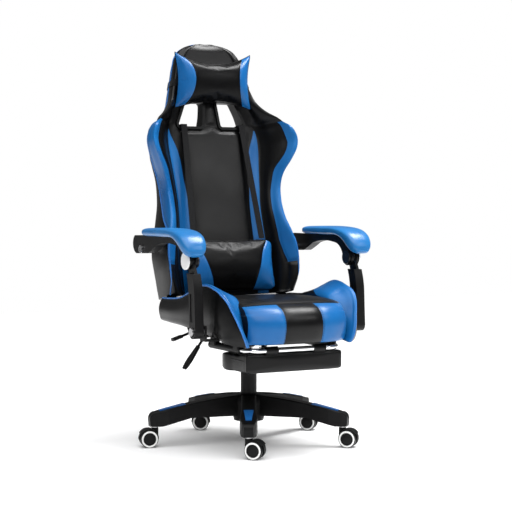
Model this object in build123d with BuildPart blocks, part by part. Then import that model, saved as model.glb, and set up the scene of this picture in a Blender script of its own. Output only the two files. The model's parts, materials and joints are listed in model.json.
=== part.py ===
# Racing style office chair with recline-linked arms and a pull-out footrest.
# Millimetres, +Z up, origin on the floor under the column, the sitter faces -Y.
import os
from math import cos, radians, sin

from build123d import *

os.makedirs("parts", exist_ok=True)

# Star base and casters
stem_circle = 300.0
first_leg = -118.2          # direction of the leg nearest the viewer, degrees from +X
hub_top = 152.0
wheel_radius = 27.0
wheel_width = 15.0
caster_web = 15.0           # thickness of the moulded body between the two wheels
caster_trail = 20.0
stem_radius = 5.5
trail_directions = (-48.0, -48.0, -45.0, -30.0, 166.0)

# Gas column
tube_radius = 25.0
cylinder_radius = 14.0
rod_radius = 5.0
fit = 0.05                  # radial running clearance on pins and shafts

# Tilt mechanism
tilt_y = -55.0
tilt_z = 342.0
tension_y = -92.0
lever_z = 341.5
plate_top = 368.0
plate_thick = 3.5
bolt_y = (-100.0, 30.0)
bolt_x = 80.0

# Seat frame
frame_half = 160.0
frame_tube = 14.0
frame_front = -235.0
frame_rear = 105.0

# Recline hinge and the parallelogram of each arm, as (Y, Z)
hinge = (120.0, 394.0)
back_lean = radians(11.4)
arm_low = (-195.0, 370.0)
arm_front = (-155.0, 575.0)
arm_rear = (160.0, 599.0)
arm_in = 262.0
arm_out = 290.0
release = (69.0, 375.0)
seat_plate_x = (190.0, 194.0)
back_plate_x = (197.0, 201.0)
sector_radius = 36.0

# Backrest frame, in the plane of the back
tube_depth = -60.0
back_tube = 9.0

# Footrest
bar_y = -290.0
bar_z = 316.0
bar_radius = 8.0
bar_half = 155.0


def save(piece, name):
    piece.label = name
    export_step(piece, f"parts/{name}.step")


# Plane across the chair at x, with the chair's Y to the right and Z up
def side_plane(x):
    return Plane(origin=(x, 0, 0), x_dir=(0, 1, 0), z_dir=(1, 0, 0))


# Point of the back: x across, v up along the back from the hinge, w forward
def on_back(x, v, w):
    y = hinge[0] + v * sin(back_lean) - w * cos(back_lean)
    z = hinge[1] + v * cos(back_lean) + w * sin(back_lean)
    return (x, y, z)


# Plane parallel to the back at depth w, drawn with x across and v up
def back_plane(w, v=0):
    return Plane(origin=on_back(0, v, w), x_dir=(1, 0, 0), z_dir=(0, -cos(back_lean), sin(back_lean)))


# Plane square to the back at height v, drawn with x across and w forward
def back_level(v):
    return Plane(origin=on_back(0, v, 0), x_dir=(1, 0, 0), z_dir=(0, -sin(back_lean), -cos(back_lean)))


# Star base: five hollow ribbed legs on a bored hub
leg_top = Plane(origin=(248, 0, 119.6), x_dir=(0.979, 0, -0.204), z_dir=(0.204, 0, 0.979))
with BuildPart() as leg:
    with BuildSketch(Plane.XZ):
        with BuildLine():
            crest = ThreePointArc((20, 152), (168, 134), (300, 107))
            toe = ThreePointArc(crest @ 1, (314, 100), (319, 86))
            Polyline(toe @ 1, (317, 64), (282, 64), (190, 86), (20, 86), crest @ 0)
        make_face()
    extrude(amount=40, both=True)
    with BuildSketch(Plane.XY.offset(40)):
        Polygon((20, 23), (180, 22), (262, 26), (302, 21), (320, 13),
                (320, -13), (302, -21), (262, -26), (180, -22), (20, -23), align=None)
    extrude(amount=130, mode=Mode.INTERSECT)
    ridge = leg.faces().filter_by(GeomType.CYLINDER).sort_by(SortBy.AREA)[-1]
    fillet(ridge.edges().filter_by(lambda edge: edge.length > 20), radius=4)
    with BuildSketch(Plane.XY.offset(60)):
        for start in (56, 101, 146, 191, 236):
            with Locations((start + 20, 0)):
                Rectangle(40, 37)
    extrude(amount=47, mode=Mode.SUBTRACT)
    with BuildSketch(Plane.XY.offset(60)):
        with Locations((stem_circle, 0)):
            Circle(stem_radius)
    extrude(amount=40.5, mode=Mode.SUBTRACT)
    with BuildSketch(leg_top.offset(-2.5)):
        Polygon((-43, 15), (-43, -15), (40, -9), (40, 9), align=None)
    extrude(amount=12, mode=Mode.SUBTRACT)

with BuildPart() as star_base:
    with BuildSketch(Plane.XZ):
        with BuildLine():
            Polyline((0, hub_top), (0, 70), (46, 70), (49, 84), (49, 120))
            ThreePointArc((49, 120), (46, 142), (38, hub_top))
            Line((38, hub_top), (0, hub_top))
        make_face()
    revolve(axis=Axis.Z)
    with PolarLocations(0, 5, start_angle=first_leg):
        add(leg.part)
    with BuildSketch(Plane.XY.offset(50)):
        Circle(tube_radius)
    extrude(amount=120, mode=Mode.SUBTRACT)
save(star_base.part, "star_base")

with BuildPart() as insert:
    with BuildSketch(leg_top.offset(-2.5)):
        Polygon((-42.7, 14.7), (-42.7, -14.7), (39.7, -8.8), (39.7, 8.8), align=None)
    extrude(amount=4.0)
    fillet(insert.faces().sort_by(Axis.Z)[-1].edges(), radius=0.8)
with BuildPart() as leg_inserts:
    with PolarLocations(0, 5, start_angle=first_leg):
        add(insert.part)
save(leg_inserts.part, "leg_inserts")

with BuildPart() as stem:
    with BuildSketch(Plane.XZ):
        Polygon((0, 41), (4.5, 41), (stem_radius, 42), (stem_radius, 60.2), (8.5, 60.2), (8.5, 64),
                (stem_radius, 64), (stem_radius, 98), (4, 100), (0, 100), align=None)
    revolve(axis=Axis.Z)
with BuildPart() as caster_stems:
    with PolarLocations(stem_circle, 5, start_angle=first_leg):
        add(stem.part)
save(caster_stems.part, "caster_stems")


# One twin-wheel caster: hooded body with its axle, and two wheels on it
def make_caster(number, leg_angle, trail_angle):
    place = Vector(stem_circle * cos(radians(leg_angle)), stem_circle * sin(radians(leg_angle)), 0)
    trail = Vector(cos(radians(trail_angle)), sin(radians(trail_angle)), 0)
    across = Vector(sin(radians(trail_angle)), -cos(radians(trail_angle)), 0)
    side = Plane(origin=place, x_dir=trail, z_dir=across)
    centre = place + trail * caster_trail + Vector(0, 0, wheel_radius)
    wheel_in = caster_web / 2 + 0.6
    wheel_out = wheel_in + wheel_width
    with BuildPart() as housing:
        with BuildSketch(side):
            with Locations((caster_trail, wheel_radius)):
                Circle(30.5)
                with Locations((0, -20)):
                    Rectangle(80, 34, mode=Mode.SUBTRACT)
            with Locations((0.5, 47.5)):
                Rectangle(19, 24)
            with Locations((caster_trail, wheel_radius)):
                Circle(9)
        extrude(amount=caster_web / 2, both=True)
        with BuildSketch(side):
            with Locations((caster_trail, wheel_radius)):
                Circle(30.5)
                Circle(28.2, mode=Mode.SUBTRACT)
                with Locations((0, -16)):
                    Rectangle(80, 64, mode=Mode.SUBTRACT)
        extrude(amount=wheel_out - 3, both=True)
        with BuildSketch(side):
            with Locations((caster_trail, wheel_radius)):
                Circle(3)
        extrude(amount=wheel_out - 3.2, both=True)
        with BuildSketch(Plane(origin=place + Vector(0, 0, 40), z_dir=(0, 0, 1))):
            Circle(stem_radius + fit)
        extrude(amount=30, mode=Mode.SUBTRACT)
    save(housing.part, f"caster_{number}_housing")
    for name, way in (("left", across), ("right", across * -1)):
        with BuildPart() as wheel:
            with BuildSketch(Plane(origin=centre, x_dir=way, z_dir=way.cross(Vector(0, 0, 1)))):
                with BuildLine():
                    Polyline((wheel_in, 3 + fit), (wheel_in, 25.4), (wheel_in + 1.6, wheel_radius),
                             (wheel_out - 4, wheel_radius))
                    ThreePointArc((wheel_out - 4, wheel_radius), (wheel_out - 1, 26.2), (wheel_out, 24))
                    Polyline((wheel_out, 24), (wheel_out, 19), (wheel_out - 1.5, 18), (wheel_out - 1.5, 16))
                    Polyline((wheel_out - 1.5, 16), (wheel_out + 0.2, 11), (wheel_out + 0.8, 5),
                             (wheel_out + 0.8, 0), (wheel_out - 3, 0), (wheel_out - 3, 3 + fit),
                             (wheel_in, 3 + fit))
                make_face()
            revolve(axis=Axis(centre, way))
        save(wheel.part, f"caster_{number}_wheel_{name}")


for index, trail_angle in enumerate(trail_directions):
    make_caster(index + 1, first_leg + 72 * index, trail_angle)

# Gas column: outer tube, guide bush, bearing, piston rod, pressure cylinder
with BuildPart() as column_tube:
    with BuildSketch(Plane.XZ):
        Polygon((6.5, 60), (tube_radius - 1, 60), (tube_radius, 61), (tube_radius, 262),
                (tube_radius - 2, 262), (tube_radius - 2, 66), (6.5, 66), align=None)
    revolve(axis=Axis.Z)
save(column_tube.part, "column_tube")

with BuildPart() as guide_bush:
    with BuildSketch(Plane.XZ):
        Polygon((cylinder_radius + fit, 140), (tube_radius - 2, 140), (tube_radius - 2, 262),
                (tube_radius, 262), (tube_radius, 265), (tube_radius - 3, 268), (cylinder_radius + fit, 268),
                align=None)
    revolve(axis=Axis.Z)
save(guide_bush.part, "guide_bush")

with BuildPart() as thrust_bearing:
    for low, high in ((66, 68), (72, 74)):
        with BuildSketch(Plane.XY.offset(low)):
            Circle(15)
            Circle(rod_radius + 0.6, mode=Mode.SUBTRACT)
        extrude(amount=high - low)
    with BuildSketch(Plane.XY.offset(68)):
        with PolarLocations(10.5, 10):
            Circle(1.9)
    extrude(amount=4)
save(thrust_bearing.part, "thrust_bearing")

with BuildPart() as piston_rod:
    with BuildSketch(Plane.XZ):
        Polygon((0, 55), (rod_radius, 55), (rod_radius, 57), (9.5, 57), (9.5, 59.5), (rod_radius, 59.5),
                (rod_radius, 74.2), (9, 74.2), (9, 78), (rod_radius, 79), (rod_radius, 288), (11.8, 288),
                (11.8, 300), (0, 300), align=None)
    revolve(axis=Axis.Z)
save(piston_rod.part, "piston_rod")

with BuildPart() as gas_cylinder:
    with BuildSketch(Plane.XZ):
        with BuildLine():
            Polyline((rod_radius + fit, 104), (cylinder_radius - 2, 104), (cylinder_radius, 107),
                     (cylinder_radius, 330), (4 + fit, 330), (4 + fit, 315), (0, 315), (0, 308), (12, 308),
                     (12, 112), (rod_radius + fit, 112), (rod_radius + fit, 104))
        make_face()
    revolve(axis=Axis.Z)
save(gas_cylinder.part, "gas_cylinder")

with BuildPart() as release_button:
    with BuildSketch(Plane.XZ):
        Polygon((0, 321.5), (4, 321.5), (4, 334), (2, 336.3), (0, 336.8), align=None)
    revolve(axis=Axis.Z)
save(release_button.part, "release_button")

# Tilt mechanism: pressed channel with a socket on the cylinder, plate above it on a pin
with BuildPart() as mechanism_body:
    with BuildSketch(side_plane(-54)):
        with BuildLine():
            Polyline((-112, 318), (46, 318), (46, 338), (-40, 356), (-72, 356), (-112, 346), (-112, 318))
        make_face()
        with Locations((tilt_y, tilt_z)):
            Circle(5, mode=Mode.SUBTRACT)
    extrude(amount=108)
    with BuildSketch(Plane.XY.offset(322)):
        with Locations((0, -33)):
            Rectangle(100, 200)
    extrude(amount=60, mode=Mode.SUBTRACT)
    with BuildSketch(Plane.XY.offset(298)):
        Circle(19)
    extrude(amount=28)
    with BuildSketch(Plane.XY.offset(290)):
        Circle(cylinder_radius)
        with Locations((0, tension_y - 3)):
            RectangleRounded(17, 23, 8)
        with Locations((0, -42)):
            RectangleRounded(50, 24, 6)
    extrude(amount=60, mode=Mode.SUBTRACT)
    with BuildSketch(side_plane(-60)):
        with Locations((0, lever_z)):
            Circle(5.2)
    extrude(amount=20, mode=Mode.SUBTRACT)
    fillet(mechanism_body.edges().filter_by(Axis.X).group_by(Axis.Z)[0], radius=2)
save(mechanism_body.part, "mechanism_body")

with BuildPart() as tilt_pin:
    with BuildSketch(side_plane(-64)):
        with Locations((tilt_y, tilt_z)):
            Circle(5)
    extrude(amount=128)
    with BuildSketch(side_plane(64)):
        with Locations((tilt_y, tilt_z)):
            Circle(7.5)
    extrude(amount=3)
    mirror(about=Plane.YZ)
save(tilt_pin.part, "tilt_pin")

with BuildPart() as tilt_spring:
    with BuildLine() as coil:
        Helix(pitch=7.2, height=29.5, radius=11, center=(0, tension_y, 285.2))
    with BuildSketch(Plane(origin=coil.line @ 0, z_dir=coil.line % 0)):
        Circle(2.2)
    sweep(path=coil.line, is_frenet=True)
save(tilt_spring.part, "tilt_spring")

with BuildPart() as tension_knob:
    with BuildSketch(Plane(origin=(0, tension_y, 252))):
        Circle(20)
        with PolarLocations(21.5, 10):
            Circle(3.6, mode=Mode.SUBTRACT)
    extrude(amount=26)
    fillet(tension_knob.faces().sort_by(Axis.Z)[0].edges(), radius=1.2)
    with BuildSketch(Plane(origin=(0, tension_y, 278))):
        Circle(16)
    extrude(amount=4.5)
    with BuildSketch(Plane(origin=(0, tension_y, 280))):
        Circle(5)
    extrude(amount=90)
    with BuildSketch(Plane(origin=(0, tension_y, plate_top + 0.5))):
        RegularPolygon(8, 6)
    extrude(amount=6)
save(tension_knob.part, "tension_knob")

with BuildPart() as seat_plate:
    with BuildSketch(Plane.XY.offset(plate_top - plate_thick)):
        with BuildLine():
            Polyline((0, -122), (98, -122), (104, -112), (104, -86), (66, -58), (66, -14), (104, 14),
                     (104, 44), (98, 54), (0, 54))
            mirror(about=Plane.YZ)
        make_face()
        with Locations(*[(x, y) for x in (-bolt_x, bolt_x) for y in bolt_y]):
            Circle(4.1, mode=Mode.SUBTRACT)
        with Locations((0, tension_y)):
            Circle(5 + fit, mode=Mode.SUBTRACT)
    extrude(amount=plate_thick)
    with BuildSketch(side_plane(57)):
        with BuildLine():
            Polyline((-78, plate_top - 1), (-66, 336))
            ThreePointArc((-66, 336), (tilt_y, 330), (-44, 336))
            Polyline((-44, 336), (-32, plate_top - 1), (-78, plate_top - 1))
        make_face()
        with Locations((tilt_y, tilt_z)):
            Circle(5 + fit, mode=Mode.SUBTRACT)
    extrude(amount=4)
    mirror(about=Plane.YZ)
save(seat_plate.part, "seat_plate")

with BuildPart() as seat_bolts:
    with BuildSketch(Plane.XY.offset(plate_top - plate_thick - 5.5)):
        with Locations(*[(x, y) for x in (-bolt_x, bolt_x) for y in bolt_y]):
            RegularPolygon(7, 6)
    extrude(amount=5.5)
    with BuildSketch(Plane.XY.offset(plate_top - plate_thick)):
        with Locations(*[(x, y) for x in (-bolt_x, bolt_x) for y in bolt_y]):
            Circle(4)
    extrude(amount=plate_thick + 12)
save(seat_bolts.part, "seat_bolts")

# Lift lever: bent rod through the channel wall, and its flattened grip
lever_bend = Vector(-183, -60, 341)
lever_way = Vector(-0.589, 0, -0.808)
with BuildPart() as lift_lever:
    with BuildLine() as lever_line:
        FilletPolyline((6, 0, lever_z), (-76, 0, lever_z), lever_bend, lever_bend + lever_way * 48, radius=14)
    with BuildSketch(Plane(origin=(6, 0, lever_z), z_dir=(-1, 0, 0))):
        Circle(4)
    sweep(path=lever_line.line)
save(lift_lever.part, "lift_lever")

with BuildPart() as lift_lever_grip:
    for reach, wide, deep in ((34, 13, 12), (60, 20, 12), (95, 27, 10), (116, 20, 7)):
        with BuildSketch(Plane(origin=lever_bend + lever_way * reach, x_dir=(0, 1, 0), z_dir=lever_way)):
            RectangleRounded(wide, deep, deep * 0.42)
    loft()
    fillet(lift_lever_grip.faces().sort_by(Axis.Z)[0].edges(), radius=2)
    with BuildSketch(Plane(origin=lever_bend + lever_way * 30, z_dir=lever_way)):
        Circle(4)
    extrude(amount=18, mode=Mode.SUBTRACT)
save(lift_lever_grip.part, "lift_lever_grip")

# Seat frame: welded square tube ring, cross bars, arm outriggers
with BuildPart() as seat_frame:
    with BuildSketch(Plane.XY.offset(plate_top)):
        with Locations((0, (frame_front + frame_rear) / 2)):
            RectangleRounded(2 * frame_half + frame_tube, frame_rear - frame_front + frame_tube, 18)
            RectangleRounded(2 * frame_half - frame_tube, frame_rear - frame_front - frame_tube, 8,
                             mode=Mode.SUBTRACT)
        with Locations(*[(0, y) for y in bolt_y]):
            Rectangle(2 * frame_half, 36)
        with Locations(*[(x, y) for x in (-bolt_x, bolt_x) for y in bolt_y]):
            Circle(4, mode=Mode.SUBTRACT)
        with Locations((0, tension_y)):
            Circle(12, mode=Mode.SUBTRACT)
        for tab_y, tab_long in ((44, 28), (101, 22)):
            with Locations((frame_half + 18, tab_y), (-frame_half - 18, tab_y)):
                Rectangle(24, tab_long)
    extrude(amount=frame_tube)
    with BuildSketch(Plane(origin=(0, arm_low[0] + 18, 0), x_dir=(1, 0, 0), z_dir=(0, -1, 0))):
        for way in (1, -1):
            with BuildLine():
                Polyline((way * 163, plate_top), (way * 163, 342), (way * 256, 342), (way * 256, 388),
                         (way * 251, 388), (way * 251, 347), (way * 167, 347), (way * 167, plate_top),
                         (way * 163, plate_top))
            make_face()
    extrude(amount=36)
    with BuildSketch(side_plane(-260)):
        with Locations(arm_low):
            Circle(6)
    extrude(amount=520, mode=Mode.SUBTRACT)
    with BuildSketch(side_plane(-200)):
        with Locations(release):
            Circle(5 + fit)
    extrude(amount=400, mode=Mode.SUBTRACT)
save(seat_frame.part, "seat_frame")


# Cross-section of the seat at y: flat bottom, rounded sides, bolster, crowned middle
def seat_section(y, half, bottom, bolster, middle, foot):
    with BuildSketch(Plane.XZ.offset(-y)) as section:
        with BuildLine():
            Line((-half + 12, bottom), (half - 12, bottom))
            for way in (1, -1):
                ThreePointArc((way * (half - 12), bottom), (way * (half - 3.5), bottom + 4.5),
                              (way * half, bottom + 14))
                ThreePointArc((way * half, bottom + 14), (way * (half + 3), (bottom + bolster) / 2),
                              (way * (half - 3), bolster - 16))
                ThreePointArc((way * (half - 3), bolster - 16), (way * (half - 8), bolster - 5),
                              (way * (half - 20), bolster))
                ThreePointArc((way * (half - 20), bolster),
                              (way * ((half - 20 + foot) / 2 + 4), (bolster + middle) / 2 + 1),
                              (way * foot, middle - 4))
            ThreePointArc((-foot, middle - 4), (0, middle), (foot, middle - 4))
        make_face()
    return section.sketch


seat_stations = (
    (-346, 110, 352, 395, 394, 60),
    (-337, 148, 341, 414, 417, 85),
    (-324, 174, 336, 427, 433, 108),
    (-308, 196, 336, 437, 444, 130),
    (-285, 213, 338, 452, 451, 145),
    (-250, 222, 343, 478, 456, 150),
    (-205, 230, 350, 496, 459, 153),
    (-160, 236, 355, 505, 459, 158),
    (-100, 241, 362, 498, 457, 164),
    (-50, 243, 368, 478, 455, 168),
    (0, 243, 372, 462, 452, 172),
    (60, 242, 374, 453, 448, 176),
    (140, 238, 377, 447, 442, 180),
)
seat_sections = [seat_section(*station) for station in seat_stations]
with BuildPart() as seat_cushion:
    loft(seat_sections)
    with BuildSketch(Plane.XY.offset(300)):
        with Locations((0, -66)):
            Rectangle(348, 372)
    extrude(amount=82.4, mode=Mode.SUBTRACT)
    with BuildSketch(Plane.XY.offset(300)):
        with Locations((0, 66)):
            Rectangle(420, 110)
    extrude(amount=86, mode=Mode.SUBTRACT)
    for way in (1, -1):
        with BuildSketch(side_plane(196 * way)):
            with Locations((85, 387)):
                Rectangle(140, 102)
        extrude(amount=14, both=True, mode=Mode.SUBTRACT)
save(seat_cushion.part, "seat_cushion")

# Recline hinge: fixed plates, toothed sector plates, pins, release shaft with pawls
back_lug = on_back(0, 86, tube_depth)
with BuildPart() as recliner_seat_plates:
    with BuildSketch(side_plane(seat_plate_x[0])):
        with BuildSketch(mode=Mode.PRIVATE) as outline:
            with Locations(hinge):
                Circle(20)
            with Locations(release):
                Circle(11)
            with Locations((40, 375)):
                Circle(8)
        make_hull(outline.edges())
        with Locations(hinge):
            Circle(7, mode=Mode.SUBTRACT)
        with Locations(release):
            Circle(5 + fit, mode=Mode.SUBTRACT)
    extrude(amount=seat_plate_x[1] - seat_plate_x[0])
    mirror(about=Plane.YZ)
save(recliner_seat_plates.part, "recliner_seat_plates")

with BuildPart() as recliner_back_plates:
    with BuildSketch(side_plane(back_plate_x[0])):
        with BuildSketch(mode=Mode.PRIVATE) as outline:
            with Locations(hinge):
                Circle(17)
            with Locations((back_lug[1], back_lug[2])):
                Circle(12)
        make_hull(outline.edges())
        with Locations(hinge):
            with BuildSketch(mode=Mode.PRIVATE) as sector:
                Circle(sector_radius)
                with PolarLocations(sector_radius + 0.6, 60):
                    RegularPolygon(1.9, 3, mode=Mode.SUBTRACT)
                Polygon((0, 0), (-60, 32), (-60, -32), align=None, mode=Mode.INTERSECT)
            add(sector.sketch)
            Circle(7 + fit, mode=Mode.SUBTRACT)
    extrude(amount=back_plate_x[1] - back_plate_x[0])
    mirror(about=Plane.YZ)
save(recliner_back_plates.part, "recliner_back_plates")

with BuildPart() as recline_pins:
    with BuildSketch(side_plane(187)):
        with Locations(hinge):
            Circle(7)
    extrude(amount=18)
    with BuildSketch(side_plane(201.6)):
        with Locations(hinge):
            Circle(12)
    extrude(amount=4)
    with BuildSketch(side_plane(194)):
        with Locations(hinge):
            Circle(11)
    extrude(amount=2.6)
    mirror(about=Plane.YZ)
save(recline_pins.part, "recline_pins")

with BuildPart() as release_shaft:
    with BuildSketch(side_plane(-204)):
        with Locations(release):
            Circle(5)
    extrude(amount=408)
save(release_shaft.part, "release_shaft")

pawl_nose = (hinge[0] - 38.2, hinge[1] + 13.8)
with BuildPart() as lock_pawls:
    with BuildSketch(side_plane(back_plate_x[0])):
        with BuildSketch(mode=Mode.PRIVATE) as outline:
            with Locations(release):
                Circle(9)
            with Locations(pawl_nose):
                Circle(4)
        make_hull(outline.edges())
        with Locations(release):
            Circle(5, mode=Mode.SUBTRACT)
    extrude(amount=back_plate_x[1] - back_plate_x[0])
    mirror(about=Plane.YZ)
save(lock_pawls.part, "lock_pawls")

with BuildPart() as recline_lever:
    with BuildSketch(side_plane(-187)):
        with Locations(release):
            Circle(9)
    extrude(amount=17)
    with BuildLine() as handle_line:
        FilletPolyline((-178.5, 66, 369), (-178.5, 50, 344), (-198, 34, 341), (-226, 31, 333), radius=7)
    with BuildSketch(Plane(origin=handle_line.line @ 0, z_dir=handle_line.line % 0)):
        Circle(4)
    sweep(path=handle_line.line)
    with BuildSketch(Plane(origin=handle_line.line @ 0.86, x_dir=(0, 1, 0), z_dir=handle_line.line % 1)):
        RectangleRounded(18, 9.5, 4)
    extrude(amount=34)
    with BuildSketch(side_plane(-190)):
        with Locations(release):
            Circle(5)
    extrude(amount=30, mode=Mode.SUBTRACT)
save(recline_lever.part, "recline_lever")

# Backrest frame of bent tube, inside the padding
rail = ((186, 66), (186, 225), (150, 330), (150, 575))
cross_tubes = ((140, 186), (340, 150))
neck = ((570, tube_depth), (604, -46), (800, -22))
neck_tube = 7.0
with BuildPart() as back_frame:
    with BuildLine(back_plane(tube_depth)) as hoop:
        FilletPolyline(*rail, *[(-x, v) for x, v in reversed(rail)], radius=40)
    with BuildSketch(Plane(origin=hoop.line @ 0, z_dir=hoop.line % 0)):
        Circle(back_tube)
    sweep(path=hoop.line)
    for v, half in cross_tubes:
        with BuildSketch(Plane.YZ):
            with Locations(on_back(0, v, tube_depth)[1:]):
                Circle(8)
        extrude(amount=half, both=True)
    with BuildLine() as neck_line:
        FilletPolyline(*[on_back(0, v, w) for v, w in neck], radius=40)
    with BuildSketch(Plane(origin=neck_line.line @ 0, z_dir=neck_line.line % 0)):
        Circle(neck_tube)
    sweep(path=neck_line.line)
    for way in (1, -1):
        with BuildSketch(back_plane(tube_depth - 12)):
            with Locations((way * 191.5, 86)):
                Rectangle(11, 40)
        extrude(amount=24)
        with BuildSketch(back_plane(tube_depth)):
            with Locations((way * 186, 208.8)):
                Rectangle(10, 32)
        extrude(amount=76)
    with BuildSketch(side_plane(-200)):
        with Locations(arm_rear):
            Circle(6)
    extrude(amount=400, mode=Mode.SUBTRACT)
save(back_frame.part, "back_frame")


# Cross-section of the back: rear face, side, wing tip and hollow front
def back_section(v, rear_half, side_half, side_w, tip_half, tip_w, foot, front_w, rear_w):
    with BuildSketch(back_level(v)) as section:
        with BuildLine():
            ThreePointArc((-rear_half + 10, rear_w + 2), (0, rear_w - 2), (rear_half - 10, rear_w + 2))
            for way in (1, -1):
                ThreePointArc((way * (rear_half - 10), rear_w + 2), (way * (rear_half - 3), rear_w + 6),
                              (way * rear_half, rear_w + 14))
                ThreePointArc((way * rear_half, rear_w + 14),
                              (way * ((rear_half + side_half) / 2 + 2), (rear_w + 14 + side_w) / 2 - 1),
                              (way * side_half, side_w))
                ThreePointArc((way * side_half, side_w),
                              (way * (side_half * 0.75 + tip_half * 0.25 + 0.5),
                               side_w * 0.25 + tip_w * 0.75 + 1),
                              (way * tip_half, tip_w))
                ThreePointArc((way * tip_half, tip_w),
                              (way * ((tip_half + foot) / 2 - 1), (tip_w + front_w) / 2 + 4),
                              (way * foot, front_w + 3))
            ThreePointArc((-foot, front_w + 3), (0, front_w), (foot, front_w + 3))
        make_face()
    return section


back_stations = (
    (60, 209, 216, 10, 200, 45, 148, -12, -84),
    (100, 212, 224, 14, 217, 58, 150, -10, -86),
    (150, 216, 232, 16, 227, 64, 152, -8, -88),
    (205, 219, 230, 14, 224, 63, 152, -7, -88),
    (250, 209, 218, 10, 211, 60, 150, -7, -88),
    (300, 198, 207, 5, 197, 49, 147, -8, -88),
    (357, 187, 202, 3, 195, 39, 146, -9, -87),
    (405, 184, 204, 5, 199, 38, 149, -9, -86),
    (450, 186, 214, 13, 212, 51, 152, -10, -86),
    (485, 192, 233, 26, 230, 70, 155, -11, -86),
    (518, 197, 250, 40, 245, 82, 158, -12, -86),
    (550, 197, 256, 44, 251, 85, 159, -13, -85),
    (581, 191, 246, 42, 240, 82, 157, -15, -80),
    (610, 172, 218, 34, 216, 68, 150, -17, -68),
    (646, 150, 176, 4, 175, 38, 138, -16, -56),
    (680, 142, 152, -6, 150, 20, 124, -12, -54),
    (720, 132, 139, -14, 135, 10, 112, -8, -54),
    (765, 121, 127, -14, 121, 9, 100, -4, -52),
    (805, 112, 118, -14, 111, 8, 90, 0, -48),
    (838, 99, 106, -15, 97, 4, 78, 1, -42),
    (858, 79, 88, -15, 77, 0, 60, 0, -36),
    (869, 53, 63, -15, 52, -4, 40, -5, -30),
    (874, 32, 42, -15, 32, -9, 24, -10, -25),
)
opening_corners = ((20, 694), (86, 694), (125, 603), (30, 603))
lip_depth = -17.0


# Outline of the two slots in the back, grown by the given amount
def opening_sketch(grow):
    with BuildSketch() as slots:
        for way in (1, -1):
            with BuildSketch(mode=Mode.PRIVATE) as slot:
                Polygon(*[(way * x, v) for x, v in opening_corners], align=None)
                fillet(slot.vertices(), radius=11)
                if grow:
                    offset(amount=grow)
            add(slot.sketch)
    return slots.sketch


back_sections = [back_section(*station).sketch for station in back_stations]
opening = opening_sketch(0)
opening_wide = opening_sketch(5.3)
with BuildPart() as backrest_cushion:
    loft(back_sections)
    with BuildSketch(back_plane(-110)):
        add(opening)
    extrude(amount=140, mode=Mode.SUBTRACT)
    with BuildSketch(back_plane(lip_depth)):
        add(opening_wide)
    extrude(amount=60, mode=Mode.SUBTRACT)
    with BuildSketch(back_plane(-52)):
        add(opening_wide)
    extrude(amount=-40, taper=-20, mode=Mode.SUBTRACT)
    with BuildLine(back_plane(tube_depth)) as channel:
        FilletPolyline(*rail, *[(-x, v) for x, v in reversed(rail)], radius=40)
    with BuildSketch(Plane(origin=channel.line @ 0, z_dir=channel.line % 0)):
        Circle(back_tube + 0.2)
    sweep(path=channel.line, mode=Mode.SUBTRACT)
    for v, half in cross_tubes:
        with BuildSketch(Plane.YZ):
            with Locations(on_back(0, v, tube_depth)[1:]):
                Circle(8.2)
        extrude(amount=half, both=True, mode=Mode.SUBTRACT)
    with BuildLine() as neck_channel:
        FilletPolyline(*[on_back(0, v, w) for v, w in neck], radius=40)
    with BuildSketch(Plane(origin=neck_channel.line @ 0, z_dir=neck_channel.line % 0)):
        Circle(neck_tube + 0.2)
    sweep(path=neck_channel.line, mode=Mode.SUBTRACT)
    for way in (1, -1):
        with BuildSketch(back_plane(-76)):
            with Locations((way * 195.5, 76)):
                Rectangle(21, 70)
        extrude(amount=106, mode=Mode.SUBTRACT)
        with BuildSketch(back_plane(tube_depth)):
            with Locations((way * 186, 208.8)):
                Rectangle(10.6, 32.6)
        extrude(amount=76.3, mode=Mode.SUBTRACT)
        with BuildSketch(side_plane(way * 188)):
            with Locations(arm_rear):
                Circle(10.3)
        extrude(amount=way * 80, mode=Mode.SUBTRACT)
save(backrest_cushion.part, "backrest_cushion")

bezel_out = opening_sketch(-0.15)
bezel_in = opening_sketch(-3.5)
bezel_lip = opening_sketch(5)
with BuildPart() as opening_bezels:
    with BuildSketch(back_plane(-50)):
        add(bezel_out)
        add(bezel_in, mode=Mode.SUBTRACT)
    extrude(amount=36)
    with BuildSketch(back_plane(lip_depth + 0.1)):
        add(bezel_lip)
        add(bezel_in, mode=Mode.SUBTRACT)
    extrude(amount=4.4)
save(opening_bezels.part, "opening_bezels")


# Pillow: layers with drawn-in sides, full in the middle and closing to both faces
def make_pillow(middle, layers):
    with BuildPart() as pillow:
        for depth, half, tall, draw in layers:
            with BuildSketch(middle.offset(depth)):
                with BuildLine():
                    ThreePointArc((-half, -tall), (0, -tall + draw), (half, -tall))
                    ThreePointArc((half, -tall), (half - draw * 0.6, 0), (half, tall))
                    ThreePointArc((half, tall), (0, tall - draw), (-half, tall))
                    ThreePointArc((-half, tall), (-half + draw * 0.6, 0), (-half, -tall))
                make_face()
        loft()
    return pillow.part


head_turn = back_lean - radians(10.7)
head_middle = Plane(origin=on_back(0, 748, 25), x_dir=(1, 0, 0), z_dir=(0, -cos(head_turn), sin(head_turn)))
head_layers = ((-18, 84, 50, 3), (-8, 118, 78, 8), (0, 139, 91, 14), (20, 118, 78, 8), (42, 70, 42, 2))
save(make_pillow(head_middle, head_layers), "head_pillow")

lumbar_layers = ((-34, 96, 48, 2), (-20, 138, 71, 5), (0, 158, 85, 9), (20, 138, 71, 5), (34, 88, 44, 2))
save(make_pillow(back_plane(28, 146), lumbar_layers), "lumbar_pillow")

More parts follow.
